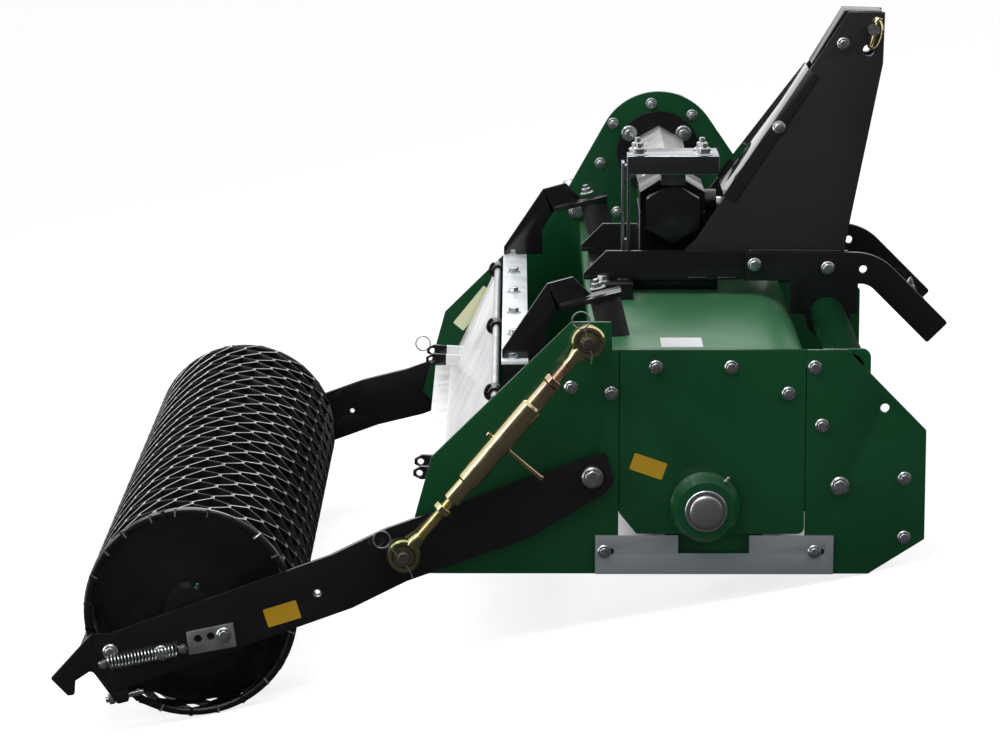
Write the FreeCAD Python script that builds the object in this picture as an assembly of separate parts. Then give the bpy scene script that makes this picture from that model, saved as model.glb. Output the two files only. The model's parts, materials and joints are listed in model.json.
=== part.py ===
"""Stone burier for a small tractor, carried on the three-point linkage.

The machine is drawn level, with the rotor's axis at x = z = 0 and the middle plane at y = 0:
+X points forward to the tractor, +Y to the machine's left, +Z up. At the end every piece is
tipped onto the floor line, because the parked machine rests on its roller and on the front
corners of its side plates. One STEP file is written for each named piece.
"""
import FreeCAD, Part
import math
import os

# ---------------------------------------------------------------- driving dimensions, mm
WIDTH = 1250.0             # outer face to outer face of the side plates
SIDE_SHEET = 8.0           # side plates
HOOD_SHEET = 5.0           # hood
FLAP_SHEET = 4.0
SIDE_TOP = 245.0           # upper edge of the side plates above the rotor's axis
EAR_RISE = 43.0            # ears that carry the turnbuckles, above that edge
PLATE_BOTTOM = -107.0      # lower edge of the side plates
PLATE_FRONT = 338.0        # front edge of the side plates
PLATE_FOOT = 252.0         # front end of the lower edge
PLATE_HEEL = -428.0        # rear end of the lower edge
PLATE_REAR = -462.0        # rearmost corner of the side plates

ROTOR_TUBE_R = 40.0
ROTOR_STUB_R = 24.95
ROTOR_TIP_R = 118.0
ROTOR_FLANGES = 7
FLANGE_R = 78.0
FLANGE_SHEET = 8.0
TINES_PER_FLANGE = 4
TINE_SHEET = 10.0
TINE_REACH = 46.0              # width of a tine's bent end

CASE_R = 110.0                 # rounded ends of the drive case
CASE_DEPTH = 74.0
DRIVE_RISE = 129.0             # gearbox axis above the hood
DRIVE_HEX_R = 50.0             # corner radius of the six-sided drive tube
GEARBOX_HEX_R = 62.0
DRIVE_FLANGE_R = 75.0
DRIVE_FLANGE_SHEET = 10.0
PTO_R = 17.46                  # shaft of 1 3/8 inch
PTO_JOURNAL_R = 16.0
PTO_LENGTH = 64.0
PTO_Y = -20.0

BEAM_OUTER = 156.0         # middle plane to the outer face of a hitch plate
BEAM_SHEET = 10.0          # beams and hitch plates
BEAM_DEPTH = 48.0
RAIL_HEIGHT = 26.0         # hood to the underside of the beams
TUBE_DROP = 31.0           # axis of the front cross tube below the plates' upper edge
TUBE_R = 29.0
TUBE_WALL = 6.0
LOWER_PIN_DROP = 109.0     # lower link pins below the beams' upper edge
LOWER_PIN_R = 11.0
LOWER_PIN_LENGTH = 58.0
MAST_HEIGHT = 461.0        # lower link pins to top link pin
TOP_PIN_R = 9.5
LINK_HOLE_R = 9.75         # top link holes
HEAD_WIDTH = 66.0          # mast head, outside
HEAD_SHEET = 8.0
MAST_SHEET = 6.0
MAST_SLOPE = 2.5           # slope of the mast's two folds, degrees

ARM_PIVOT = (-174.0, 50.0)
ARM_DROP = 20.0                # slope of the roller arms, degrees
ARM_ABOVE = 31.0               # upper edge of an arm above the line from its pivot
ARM_BELOW = 58.0               # lower edge below that line
ARM_SHEET = 10.0
ARM_GAP = 6.0                  # arm to side plate
ROLLER_AXIS = (-791.0, -158.0)
ROLLER_R = 165.0
ROLLER_OVERHANG = 45.0         # roller end beyond the side plate
ROLLER_SHEET = 13.0            # depth of the mesh, from its inner to its outer edges
ROLLER_TO_ARM = 10.0
DISC_INSET = 24.0
DISC_SHEET = 5.0
AXLE_R = 20.0

LINK_DROP = 24.0               # turnbuckle pin below the top of the ear
LINK_FOOT = (-463.0, -70.0)    # turnbuckle pin on the arm
LINK_PIN_R = 9.5
LINK_EYE_R = 26.0
LINK_EYE_WIDTH = 18.0
LINK_ROD_R = 9.0
LINK_BARREL_R = 15.0
LINK_COLLAR_R = 12.0
LINK_TO_ARM = 5.0              # turnbuckle barrel to arm

HINGE_DROP = 79.0              # hinge rod of the rear flap below the plates' upper edge
HINGE_R = 6.0
FLAP_FOOT = (-410.0, -13.0)
FLAP_LIP = 28.0

STRIP_BACK = -314.0            # clamp strip of the sieve
STRIP_FRONT = -272.0
STRIP_DROP = 39.0              # below the plates' upper edge
SIEVE_BARS = 21
SIEVE_BAR_DEPTH = 12.0
SIEVE_BAR_SHEET = 10.0

RUN_FIT = 0.05                 # radial clearance of everything that turns
SEAM = 1.0                     # butt joint between two sheets
SEAT = 0.3                     # paint-thick gap where a round piece sits in a cradle
FAR = 2000.0                   # beyond every face, for cutting

HALF = WIDTH / 2
INNER = HALF - SIDE_SHEET      # inner face of the side plates
EAR_TOP = SIDE_TOP + EAR_RISE
HOOD_TOP = SIDE_TOP - 1
DRIVE_AXIS = (-33.0, HOOD_TOP + DRIVE_RISE)    # gearbox output above the rotor
TUBE_AXIS = (219.0, SIDE_TOP - TUBE_DROP)
BEAM_BOTTOM = HOOD_TOP + RAIL_HEIGHT
BEAM_TOP = BEAM_BOTTOM + BEAM_DEPTH
HITCH_INNER = BEAM_OUTER - BEAM_SHEET
BEAM_INNER = HITCH_INNER - BEAM_SHEET
LOWER_PIN = (379.0, BEAM_TOP - LOWER_PIN_DROP)
TOP_PIN = (297.0, LOWER_PIN[1] + MAST_HEIGHT)
SPARE_PIN = (TOP_PIN[0] - 7.0, TOP_PIN[1] - 35.0)    # second position of the top link
MAST_FOLD = TOP_PIN[1] - 52.0                  # rear end of the upper fold
ARM_Y = HALF + ARM_GAP                         # inner face of the arms beside the plates
ROLLER_HALF = HALF + ROLLER_OVERHANG
ARM_OUT_Y = ROLLER_HALF + ROLLER_TO_ARM        # inner face of the arms beside the roller
ARM_FACE_Y = ARM_OUT_Y + ARM_SHEET
LINK_Y = ARM_Y + ARM_SHEET + LINK_TO_ARM + LINK_BARREL_R
LINK_TOP = (-181.0, EAR_TOP - LINK_DROP)       # turnbuckle pin on the ear
HINGE_AXIS = (-324.0, SIDE_TOP - HINGE_DROP)
STRIP_TOP = SIDE_TOP - STRIP_DROP

V = FreeCAD.Vector
pieces = {}


# ---------------------------------------------------------------- drawing helpers
def corner(points, i, y):
    """Start, middle and end of the corner arc at one point of an outline, or the point three times."""
    here = V(points[i][0], y, points[i][1])
    if len(points[i]) == 2:
        return here, here, here
    radius = points[i][2]
    after = points[(i + 1) % len(points)]
    back = (V(points[i - 1][0], y, points[i - 1][1]) - here).normalize()
    ahead = (V(after[0], y, after[1]) - here).normalize()
    half_angle = back.getAngle(ahead) / 2
    reach = radius / math.tan(half_angle)
    depth = radius / math.sin(half_angle) - radius
    return here + back * reach, here + (back + ahead).normalize() * depth, here + ahead * reach


def side_profile(points, y_low, y_high):
    """Solid with its outline in the X-Z plane; a third number at a point is its corner radius."""
    corners = [corner(points, i, y_low) for i in range(len(points))]
    edges = []
    for i, (start, middle, end) in enumerate(corners):
        if start.distanceToPoint(end) > 0.01:
            edges.append(Part.Arc(start, middle, end).toShape())
        following = corners[(i + 1) % len(corners)][0]
        if end.distanceToPoint(following) > 0.01:
            edges.append(Part.LineSegment(end, following).toShape())
    return Part.Face(Part.Wire(edges)).extrude(V(0, y_high - y_low, 0))


def box(x_low, x_high, y_low, y_high, z_low, z_high):
    return Part.makeBox(x_high - x_low, y_high - y_low, z_high - z_low, V(x_low, y_low, z_low))


def bar_y(centre, radius, y_low, y_high):
    """Round bar along Y."""
    return Part.makeCylinder(radius, y_high - y_low, V(centre[0], y_low, centre[1]), V(0, 1, 0))


def bar_x(x_low, x_high, y, z, radius):
    return Part.makeCylinder(radius, x_high - x_low, V(x_low, y, z), V(1, 0, 0))


def ring_y(centre, outer, inner, y_low, y_high):
    return bar_y(centre, outer, y_low, y_high).cut(bar_y(centre, inner, y_low - 1, y_high + 1))


def revolve_y(centre, profile):
    """Solid of revolution about a Y axis; the profile is a list of (radius, y)."""
    x, z = centre
    points = [V(x + r, y, z) for r, y in profile]
    wire = Part.makePolygon(points + [points[0]])
    return Part.Face(wire).revolve(V(x, 0, z), V(0, 1, 0), 360)


def mirrored(shape):
    """The same piece on the machine's left side."""
    return shape.mirror(V(0, 0, 0), V(0, 1, 0))


def fuse(shapes):
    result = shapes[0]
    for shape in shapes[1:]:
        result = result.fuse(shape)
    return result.removeSplitter()


def on_line(start, end, distance):
    """Point at a distance from start towards end, in the X-Z plane."""
    length = math.hypot(end[0] - start[0], end[1] - start[1])
    return (start[0] + (end[0] - start[0]) * distance / length,
            start[1] + (end[1] - start[1]) * distance / length)


# ---------------------------------------------------------------- side plates and their covers
PLATE_OUTLINE = [(-207, EAR_TOP), (-146, EAR_TOP), (-144, SIDE_TOP), (215, SIDE_TOP),
                 (PLATE_FRONT, SIDE_TOP - 126), (PLATE_FRONT, PLATE_BOTTOM + 55), (PLATE_FOOT, PLATE_BOTTOM),
                 (PLATE_HEEL, PLATE_BOTTOM), (PLATE_REAR, PLATE_BOTTOM + 35), (-421, SIDE_TOP - 168)]
LIFT_HOLE = (274.0, SIDE_TOP - 91.0)
LIFT_HOLE_R = 7.0
PANEL_REAR = -133.0        # bolted bearing panel in the right side
PANEL_FRONT = 153.0
PANEL_BOTTOM = -44.0
PANEL_CHAMFER = (27.0, 33.0)
HOUSING_SPIGOT_R = 40.0
STRAP_SHEET = 8.0
LEFT_SHOULDER = 188.0      # front end of the rise of the left plate
CLOSING_SHEET = 4.0


def right_side():
    """Rear plate, front plate and the bearing panel that lifts out with the rotor."""
    whole = side_profile(PLATE_OUTLINE, -HALF, -INNER)
    rear = whole.common(box(-FAR, PANEL_REAR - SEAM / 2, -FAR, FAR, -FAR, FAR))
    front = whole.common(box(PANEL_FRONT + SEAM / 2, FAR, -FAR, FAR, -FAR, FAR))
    left, right = PANEL_REAR + SEAM / 2, PANEL_FRONT - SEAM / 2
    panel = side_profile([(left, SIDE_TOP), (right, SIDE_TOP), (right, PANEL_BOTTOM, 10),
                          (left + PANEL_CHAMFER[0], PANEL_BOTTOM),
                          (left, PANEL_BOTTOM + PANEL_CHAMFER[1])], -HALF, -INNER)
    panel = panel.cut(bar_y((0, 0), HOUSING_SPIGOT_R, -HALF - 1, -INNER + 1))
    rear = rear.cut(bar_y(LINK_TOP, LINK_PIN_R, -HALF - 1, -INNER + 1))
    rear = rear.cut(bar_y(ARM_PIVOT, LINK_PIN_R, -HALF - 1, -INNER + 1))
    front = front.cut(bar_y(LIFT_HOLE, LIFT_HOLE_R, -HALF - 1, -INNER + 1))
    pieces["side_plate_right_rear"] = rear
    pieces["side_plate_right_front"] = front
    pieces["bearing_panel_right"] = panel


def seam_straps():
    """Flat bars behind the two seams, to which plates and panel are bolted."""
    low = PANEL_BOTTOM + PANEL_CHAMFER[1] + 1
    rear = box(PANEL_REAR - 25, PANEL_REAR + 25, -INNER, -INNER + STRAP_SHEET, low, HOOD_TOP - HOOD_SHEET)
    front = box(PANEL_FRONT - 25, HOOD_FRONT - HOOD_SHEET - SEAM, -INNER, -INNER + STRAP_SHEET,
                low, SIDE_TOP - 65)
    pieces["seam_straps_right"] = Part.makeCompound([rear, front])


def touch_point(start, centre, radius, side):
    """Where a straight line from a point touches a circle, on one side of it."""
    dx, dz = start[0] - centre[0], start[1] - centre[1]
    angle = math.atan2(dz, dx) + side * math.acos(radius / math.hypot(dx, dz))
    return centre[0] + radius * math.cos(angle), centre[1] + radius * math.sin(angle)


def left_side():
    """Left plate in one piece, drawn up on both sides to the round head of the drive case."""
    rear, front = (-207, EAR_TOP), (LEFT_SHOULDER, SIDE_TOP)
    rise = side_profile([rear, touch_point(rear, DRIVE_AXIS, CASE_R, -1),
                         touch_point(front, DRIVE_AXIS, CASE_R, 1), front, (front[0], 0), (rear[0], 0)],
                        INNER, HALF)
    plate = fuse([side_profile(PLATE_OUTLINE, INNER, HALF), rise, bar_y(DRIVE_AXIS, CASE_R, INNER, HALF)])
    plate = plate.cut(bar_y((0, 0), ROTOR_STUB_R + RUN_FIT, INNER - 1, HALF + 1))
    for hole, radius in ((LINK_TOP, LINK_PIN_R), (ARM_PIVOT, LINK_PIN_R), (LIFT_HOLE, LIFT_HOLE_R)):
        plate = plate.cut(bar_y(hole, radius, INNER - 1, HALF + 1))
    pieces["side_plate_left"] = plate


def case_outline(radius, y_low, y_high):
    """Two round ends, about the drive axis and the rotor, joined by their tangents."""
    dx, dz = DRIVE_AXIS
    length = math.hypot(dx, dz)
    nx, nz = dz / length * radius, -dx / length * radius
    web = side_profile([(nx, nz), (dx + nx, dz + nz), (dx - nx, dz - nz), (-nx, -nz)], y_low, y_high)
    return fuse([web, bar_y((0, 0), radius, y_low, y_high), bar_y(DRIVE_AXIS, radius, y_low, y_high)])


def drive_case():
    """Closed case of the side drive, outside the left plate: rim flange and raised cover."""
    rim = case_outline(CASE_R - 2, HALF, HALF + 12)
    body = case_outline(CASE_R - 22, HALF + 12, HALF + CASE_DEPTH)
    case = fuse([rim, body])
    case = case.cut(bar_y((0, 0), ROTOR_STUB_R + RUN_FIT, HALF - 1, HALF + 50))
    pieces["drive_case"] = case


def closing_plate():
    """Galvanised plate over the slot below the bearing panel."""
    left, right, top = PANEL_REAR - 36, PANEL_FRONT + 45, PANEL_BOTTOM - 2
    step = top - 28
    plate = side_profile([(left, top), (-41, top), (-41, step), (68, step), (68, top), (right, top),
                          (right, PLATE_BOTTOM), (left, PLATE_BOTTOM)], -HALF - CLOSING_SHEET, -HALF)
    for x in (left + 16, right - 27):
        slot = side_profile([(x - 6, top - 20, 4.9), (x + 13, top - 20, 4.9), (x + 13, top - 30, 4.9),
                             (x - 6, top - 30, 4.9)], -HALF - CLOSING_SHEET - 1, -HALF + 1)
        plate = plate.cut(slot)
    pieces["closing_plate"] = plate


def bearing_right():
    """Flanged bearing housing of the rotor with its pressed cap."""
    y = -HALF
    spigot = HOUSING_SPIGOT_R - SEAT
    pieces["bearing_housing"] = revolve_y((0, 0), [
        (ROTOR_STUB_R + RUN_FIT, y + 20), (spigot, y + 20), (spigot, y), (54, y), (47, y - 9),
        (52, y - 22), (44, y - 35), (ROTOR_STUB_R + RUN_FIT, y - 35)])
    pieces["bearing_cap"] = revolve_y((0, 0), [
        (0, y - 35), (37, y - 35), (35, y - 43), (18, y - 50), (0, y - 52)])


# ---------------------------------------------------------------- hood and cross members
HOOD_REAR = -175.0
HOOD_BEND = 95.0
HOOD_FRONT = 170.0
HOOD_DROP = 60.0           # lower edge of the hood's front curtain


def hood():
    """Sheet over the rotor: flat on top, rolled down at the front, a short drop behind."""
    bend = HOOD_FRONT - HOOD_BEND
    top = HOOD_TOP
    y = -INNER

    def section(offset):
        inner_top = top - offset
        r = bend - offset
        centre = (HOOD_BEND, top - bend)
        corner = (centre[0] + r * math.sin(math.radians(45)), centre[1] + r * math.cos(math.radians(45)))
        return inner_top, (centre[0] + r, centre[1]), corner

    out_top, out_end, out_mid = section(0)
    in_top, in_end, in_mid = section(HOOD_SHEET)
    rear_drop = 40.0
    edges = [
        Part.LineSegment(V(HOOD_REAR, y, out_top - rear_drop), V(HOOD_REAR, y, out_top)),
        Part.LineSegment(V(HOOD_REAR, y, out_top), V(HOOD_BEND, y, out_top)),
        Part.Arc(V(HOOD_BEND, y, out_top), V(out_mid[0], y, out_mid[1]), V(out_end[0], y, out_end[1])),
        Part.LineSegment(V(out_end[0], y, out_end[1]), V(out_end[0], y, HOOD_DROP)),
        Part.LineSegment(V(out_end[0], y, HOOD_DROP), V(in_end[0], y, HOOD_DROP)),
        Part.LineSegment(V(in_end[0], y, HOOD_DROP), V(in_end[0], y, in_end[1])),
        Part.Arc(V(in_end[0], y, in_end[1]), V(in_mid[0], y, in_mid[1]), V(HOOD_BEND, y, in_top)),
        Part.LineSegment(V(HOOD_BEND, y, in_top), V(HOOD_REAR + HOOD_SHEET, y, in_top)),
        Part.LineSegment(V(HOOD_REAR + HOOD_SHEET, y, in_top),
                         V(HOOD_REAR + HOOD_SHEET, y, out_top - rear_drop)),
        Part.LineSegment(V(HOOD_REAR + HOOD_SHEET, y, out_top - rear_drop),
                         V(HOOD_REAR, y, out_top - rear_drop))]
    wire = Part.Wire([edge.toShape() for edge in edges])
    pieces["hood"] = Part.Face(wire).extrude(V(0, 2 * INNER, 0))


END_SHEET = 8.0


def front_tube():
    """Cross tube that carries the headstock, welded to an end plate on each side."""
    bore_r = TUBE_R - TUBE_WALL
    tube = bar_y(TUBE_AXIS, TUBE_R, -INNER, INNER).cut(bar_y(TUBE_AXIS, bore_r, -INNER - 1, INNER + 1))
    x, z = TUBE_AXIS
    end = side_profile([(x - 41, z - 64), (x - 41, SIDE_TOP), (x + TUBE_R + 4, SIDE_TOP, 14),
                        (x + TUBE_R + 4, z - 64)], -INNER, -INNER + END_SHEET)
    end = end.cut(bar_y(TUBE_AXIS, bore_r, -INNER - 1, INNER + 1))
    pieces["front_tube"] = fuse([tube, end, mirrored(end)])


RAIL_BACK = -168.0
RAIL_FRONT = -100.0


def rear_rail():
    """Cross rail on the hood under the rear ends of the headstock beams."""
    half = BEAM_OUTER + 34
    pieces["rear_rail"] = box(RAIL_BACK, RAIL_FRONT, -half, half, HOOD_TOP, BEAM_BOTTOM)


# ---------------------------------------------------------------- headstock
HITCH_REAR = 84.0          # rear end of a hitch plate, where it overlaps the beam
LUG_BACK = 158.0
LUG_FRONT = 269.0
HITCH_SLOPE_SUM = 617.0 - 318.0    # x + z of the sloping arm's upper edge, less the beam's upper edge
HITCH_ARM_DEPTH = 47.0


def headstock():
    """Straight beams on edge, with the hitch plates that are bolted to their outer faces."""
    front = LUG_FRONT - 16
    beam = side_profile([(-180, BEAM_BOTTOM), (-180, BEAM_TOP - 37), (-143, BEAM_TOP), (front, BEAM_TOP),
                         (front, BEAM_BOTTOM)], -HITCH_INNER, -BEAM_INNER)
    pieces["headstock_beams"] = Part.makeCompound([beam, mirrored(beam)])
    upper = HITCH_SLOPE_SUM + BEAM_TOP             # x + z along the upper edge of the sloping arm
    lower = upper - HITCH_ARM_DEPTH * math.sqrt(2)
    tip_x, tip_z = LOWER_PIN[0] + 38, upper - LOWER_PIN[0] - 38
    drop = HITCH_ARM_DEPTH / math.sqrt(2)
    lug_top = BEAM_BOTTOM - 5
    plate = side_profile([
        (HITCH_REAR, BEAM_BOTTOM), (HITCH_REAR, BEAM_TOP - 1), (upper - BEAM_TOP + 1, BEAM_TOP - 1, 90),
        (tip_x, tip_z, 4), (tip_x - drop, tip_z - drop, 4), (lower - lug_top, lug_top, 30),
        (LUG_FRONT, lug_top), (LUG_FRONT, TUBE_AXIS[1] + 1), (LUG_BACK, TUBE_AXIS[1] + 1),
        (LUG_BACK, BEAM_BOTTOM)], -BEAM_OUTER, -HITCH_INNER)
    plate = plate.cut(bar_y(TUBE_AXIS, TUBE_R + SEAT, -BEAM_OUTER - 1, -HITCH_INNER + 1))
    plate = plate.cut(bar_y((277, BEAM_TOP - 29), 6.5, -BEAM_OUTER - 1, -HITCH_INNER + 1))
    pieces["hitch_plates"] = Part.makeCompound([plate, mirrored(plate)])


def lower_link_pins():
    """Pins of the lower links, standing inwards from the hitch plates."""
    y = -HITCH_INNER
    pin = bar_y(LOWER_PIN, LOWER_PIN_R, y, y + LOWER_PIN_LENGTH)
    cross_hole = Part.makeCylinder(4, 40, V(LOWER_PIN[0], y + LOWER_PIN_LENGTH - 10, LOWER_PIN[1] - 20),
                                   V(0, 0, 1))
    pin = pin.cut(cross_hole)
    pieces["lower_link_pins"] = Part.makeCompound([pin, mirrored(pin)])


def tube_saddles():
    """Welded half clamps under the tube, one below each hitch plate."""
    y = -(BEAM_OUTER + HITCH_INNER) / 2
    saddle = ring_y(TUBE_AXIS, TUBE_R + 8, TUBE_R + SEAT, y - 30, y + 30)
    saddle = saddle.common(box(0, FAR, -FAR, FAR, 0, TUBE_AXIS[1] + 1))
    pieces["tube_clamps"] = Part.makeCompound([saddle, mirrored(saddle)])


FOOT_REAR = (4.0, BEAM_TOP + 18)       # rear end of the mast's lower fold
FOOT_FRONT_X = 248.0
HEAD_REAR_X = 203.0                    # rear end of the upper fold
HEAD_FRONT_X = 314.0
COVER_LIP = 18.0                       # folded edge of the cover on the outside of each mast side
COVER_SHEET = 3.0
COVER_START = 0.24                     # shares of the mast's rear edge
COVER_END = 0.95


def mast_sides():
    """Side sheets: upright at the beams, leaning in from a fold to a second fold at the head."""
    fall = math.tan(math.radians(MAST_SLOPE))
    foot_y = -BEAM_INNER
    head_y = -HEAD_WIDTH / 2 - MAST_SHEET
    low_x, low_z = FOOT_REAR
    rise = MAST_FOLD + (HEAD_REAR_X - low_x) * fall - low_z      # upright distance between the folds
    lean = (head_y - foot_y) / rise

    def on_fold(x, height):
        """Point of the leaning sheet's outer face, at an upright height above the lower fold."""
        return V(x, foot_y + height * lean, low_z + height - (x - low_x) * fall)

    corners = [on_fold(low_x, 0), on_fold(FOOT_FRONT_X, 0), on_fold(HEAD_FRONT_X, rise),
               on_fold(HEAD_REAR_X, rise)]
    panel = Part.Face(Part.makePolygon(corners + corners[:1])).extrude(V(0, MAST_SHEET, 0))
    fold_drop = (FOOT_FRONT_X - low_x) * fall
    flange = side_profile([(-17, BEAM_TOP - 2), (low_x, low_z), (FOOT_FRONT_X, low_z - fold_drop),
                           (FOOT_FRONT_X, BEAM_BOTTOM + 2), (-17, BEAM_BOTTOM + 2)],
                          foot_y, foot_y + MAST_SHEET)
    head_rear, head_front = on_fold(HEAD_REAR_X, rise), on_fold(HEAD_FRONT_X, rise)
    cheek = side_profile([(head_rear.x, head_rear.z), (TOP_PIN[0] - 41, TOP_PIN[1] + 29),
                          (TOP_PIN[0] + 19, TOP_PIN[1] + 28), (head_front.x, head_front.z)],
                         head_y, head_y + MAST_SHEET)
    side = fuse([panel, flange, cheek])
    for hole in (TOP_PIN, SPARE_PIN):
        side = side.cut(bar_y(hole, LINK_HOLE_R, -HEAD_WIDTH, 0))
    pieces["mast_sides"] = Part.makeCompound([side, mirrored(side)])
    mast_cover(on_fold, rise, fall)


def mast_cover(on_fold, rise, fall):
    """Sheet over the mast's rear edges, its lips folded round the sides."""
    run = HEAD_REAR_X - FOOT_REAR[0]
    climb = rise - run * fall
    slant = math.hypot(run, climb)
    back, up = -climb / slant, run / slant         # square to the rear edge, away from the mast

    def on_edge(share, depth, aside):
        """Point behind a share of the rear edge by a depth, and aside from the side's outer face."""
        spot = on_fold(FOOT_REAR[0] + run * share + back * depth, rise * share + (up + back * fall) * depth)
        return V(spot.x, spot.y - aside, spot.z)

    def across(share):
        """The sheet's section at one place of the edge, from lip to lip."""
        half = [on_edge(share, -COVER_LIP, SEAT), on_edge(share, -COVER_LIP, SEAT + COVER_SHEET),
                on_edge(share, SEAT + COVER_SHEET, SEAT + COVER_SHEET)]
        inner = on_edge(share, SEAT, SEAT)
        other = [V(point.x, -point.y, point.z) for point in half + [inner]]
        return Part.makePolygon([inner] + half + other[2::-1] + [other[3], inner])

    pieces["mast_cover"] = Part.makeLoft([across(COVER_START), across(COVER_END)], True, True)


def mast_head():
    """Channel folded from one sheet, open to the front, that holds the top link pin."""
    half = HEAD_WIDTH / 2
    x, z = TOP_PIN
    head = side_profile([(x - 101, z - 58), (x - 47, z + 31), (x + 14, z + 29), (x + 19, z + 24),
                         (x + 17, z - 56)], -half, half)
    pocket = side_profile([(x - 92, z - 70), (x - 40, z + 24), (x + 60, z + 22), (x + 60, z - 70)],
                          -half + HEAD_SHEET, half - HEAD_SHEET)
    head = head.cut(pocket)
    for hole in (TOP_PIN, SPARE_PIN):
        head = head.cut(bar_y(hole, LINK_HOLE_R, -half - 1, half + 1))
    pieces["mast_head"] = head
    outer = half + MAST_SHEET
    pieces["top_link_pin"] = fuse([bar_y(TOP_PIN, TOP_PIN_R, -outer - 14, outer + 8),
                                   bar_y(TOP_PIN, TOP_PIN_R + 5, outer + 1, outer + 8)])


# ---------------------------------------------------------------- gearbox and drive tube
def hexagon(radius, y_low, y_high):
    x, z = DRIVE_AXIS
    points = [(x + radius * math.sin(math.radians(60 * i)), z + radius * math.cos(math.radians(60 * i)), 3)
              for i in range(6)]
    return side_profile(points, y_low, y_high)


GEARBOX_FOOT = 20.0
SHAFT_START = 96.0         # drive shaft's full diameter ahead of the gearbox axis


def gearbox():
    """Bevel gearbox on the hood, its six-sided housing lying across the machine."""
    x, z = DRIVE_AXIS
    body = fuse([hexagon(DRIVE_HEX_R, -108, -70), hexagon(GEARBOX_HEX_R, -71, 70)])
    base = box(x - 54, x + 54, -80, 60, HOOD_TOP + GEARBOX_FOOT, z)
    foot = box(x - 66, x + 75, -95, 75, HOOD_TOP, HOOD_TOP + GEARBOX_FOOT)
    boss = bar_x(x + 40, x + 74, PTO_Y, z, 28)
    body = fuse([body, base, foot, boss])
    pieces["gearbox"] = body.cut(bar_x(x + 40, x + 100, PTO_Y, z, PTO_JOURNAL_R + RUN_FIT))
    shaft_start = x + SHAFT_START
    pieces["pto_shaft"] = fuse([bar_x(x + 41, shaft_start + 1, PTO_Y, z, PTO_JOURNAL_R),
                                bar_x(shaft_start, shaft_start + PTO_LENGTH, PTO_Y, z, PTO_R)])


def drive_tube():
    """Ribbed tube from the gearbox to the left side plate, and its round bolted flange."""
    flange_y = INNER - DRIVE_FLANGE_SHEET
    pieces["drive_tube"] = hexagon(DRIVE_HEX_R, 70, flange_y)
    pieces["drive_flange"] = bar_y(DRIVE_AXIS, DRIVE_FLANGE_R, flange_y, INNER)


TRAY_BACK = -104.0
TRAY_FRONT = 42.0
TRAY_Y = (-118.0, -20.0)
TRAY_SHEET = 5.0
TRAY_TURNDOWN = 30.0
TIE_GAP = 4.0              # upright of the tray to the tie strap behind it
TIE_WIDTH = 34.0
SPACER_HEIGHT = 24.0


def gearbox_bracket():
    """Tray on top of the gearbox, turned down along three edges, with an upright and a tie strap behind."""
    near, far = TRAY_Y
    top_z = DRIVE_AXIS[1] + GEARBOX_HEX_R + TRAY_TURNDOWN + 5
    low_z = top_z - TRAY_TURNDOWN
    tray = box(TRAY_BACK, TRAY_FRONT, near, far, low_z, top_z)
    hollow = box(TRAY_BACK + TRAY_SHEET, TRAY_FRONT + 1, near + TRAY_SHEET, far - TRAY_SHEET,
                 low_z - 1, top_z - TRAY_SHEET)
    upright = box(TRAY_BACK - TRAY_SHEET, TRAY_BACK, near, near + 50, BEAM_BOTTOM, top_z)
    pad = box(DRIVE_AXIS[0] - 20, DRIVE_AXIS[0] + 20, near + TRAY_SHEET, far - TRAY_SHEET,
              DRIVE_AXIS[1] + GEARBOX_HEX_R - 14, top_z - TRAY_SHEET)
    behind = TRAY_BACK - TRAY_SHEET - TIE_GAP
    tie_low, tie_high = BEAM_BOTTOM + 31, top_z - 12
    tie = box(behind - TRAY_SHEET, behind, near + 8, near + 8 + TIE_WIDTH, tie_low, tie_high)
    spacers = [box(behind - 1, behind + TIE_GAP, near + 14, near + TIE_WIDTH, z, z + SPACER_HEIGHT)
               for z in (tie_low + 5, tie_high - 5 - SPACER_HEIGHT)]
    pieces["gearbox_bracket"] = fuse([tray.cut(hollow), upright, pad.cut(pieces["gearbox"]), tie] + spacers)


# ---------------------------------------------------------------- sieve
SIEVE_HALF = 515.0
CLAMP_SHEET = 6.0
SIEVE_BEAM_DEPTH = 38.0
SIEVE_KNEE = 60.0          # height where the bars begin to curve forwards
SIEVE_END = (-218.0, -80.0)


def sieve():
    """Clamp strip, cross beam and the curved spring bars of the sieve behind the rotor."""
    middle = (STRIP_BACK + STRIP_FRONT) / 2
    beam_top = STRIP_TOP - CLAMP_SHEET
    beam_bottom = beam_top - SIEVE_BEAM_DEPTH
    pieces["sieve_beam"] = box(STRIP_BACK + 3, STRIP_FRONT - 3, -SIEVE_HALF, SIEVE_HALF,
                               beam_bottom, beam_top)
    pieces["sieve_clamp_strip"] = box(STRIP_BACK, STRIP_FRONT, -SIEVE_HALF, SIEVE_HALF, beam_top, STRIP_TOP)
    half = SIEVE_BAR_DEPTH / 2
    knee_r = 150.0
    bars = []
    pitch = (2 * SIEVE_HALF - 50) / (SIEVE_BARS - 1)
    for i in range(SIEVE_BARS):
        y = -SIEVE_HALF + 25 + i * pitch
        bars.append(side_profile([
            (middle - half, beam_bottom), (middle - half, SIEVE_KNEE - 50, knee_r + SIEVE_BAR_DEPTH),
            (SIEVE_END[0] - half, SIEVE_END[1] - half), (SIEVE_END[0] + half, SIEVE_END[1] + half),
            (middle + half, SIEVE_KNEE - 45, knee_r), (middle + half, beam_bottom)],
            y - SIEVE_BAR_SHEET / 2, y + SIEVE_BAR_SHEET / 2))
    pieces["sieve_rods"] = Part.makeCompound(bars)


BRACKET_Y = 490.0          # middle of the buffer brackets
BRACKET_SHEET = 8.0
BUFFER_R = 24.0


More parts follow.
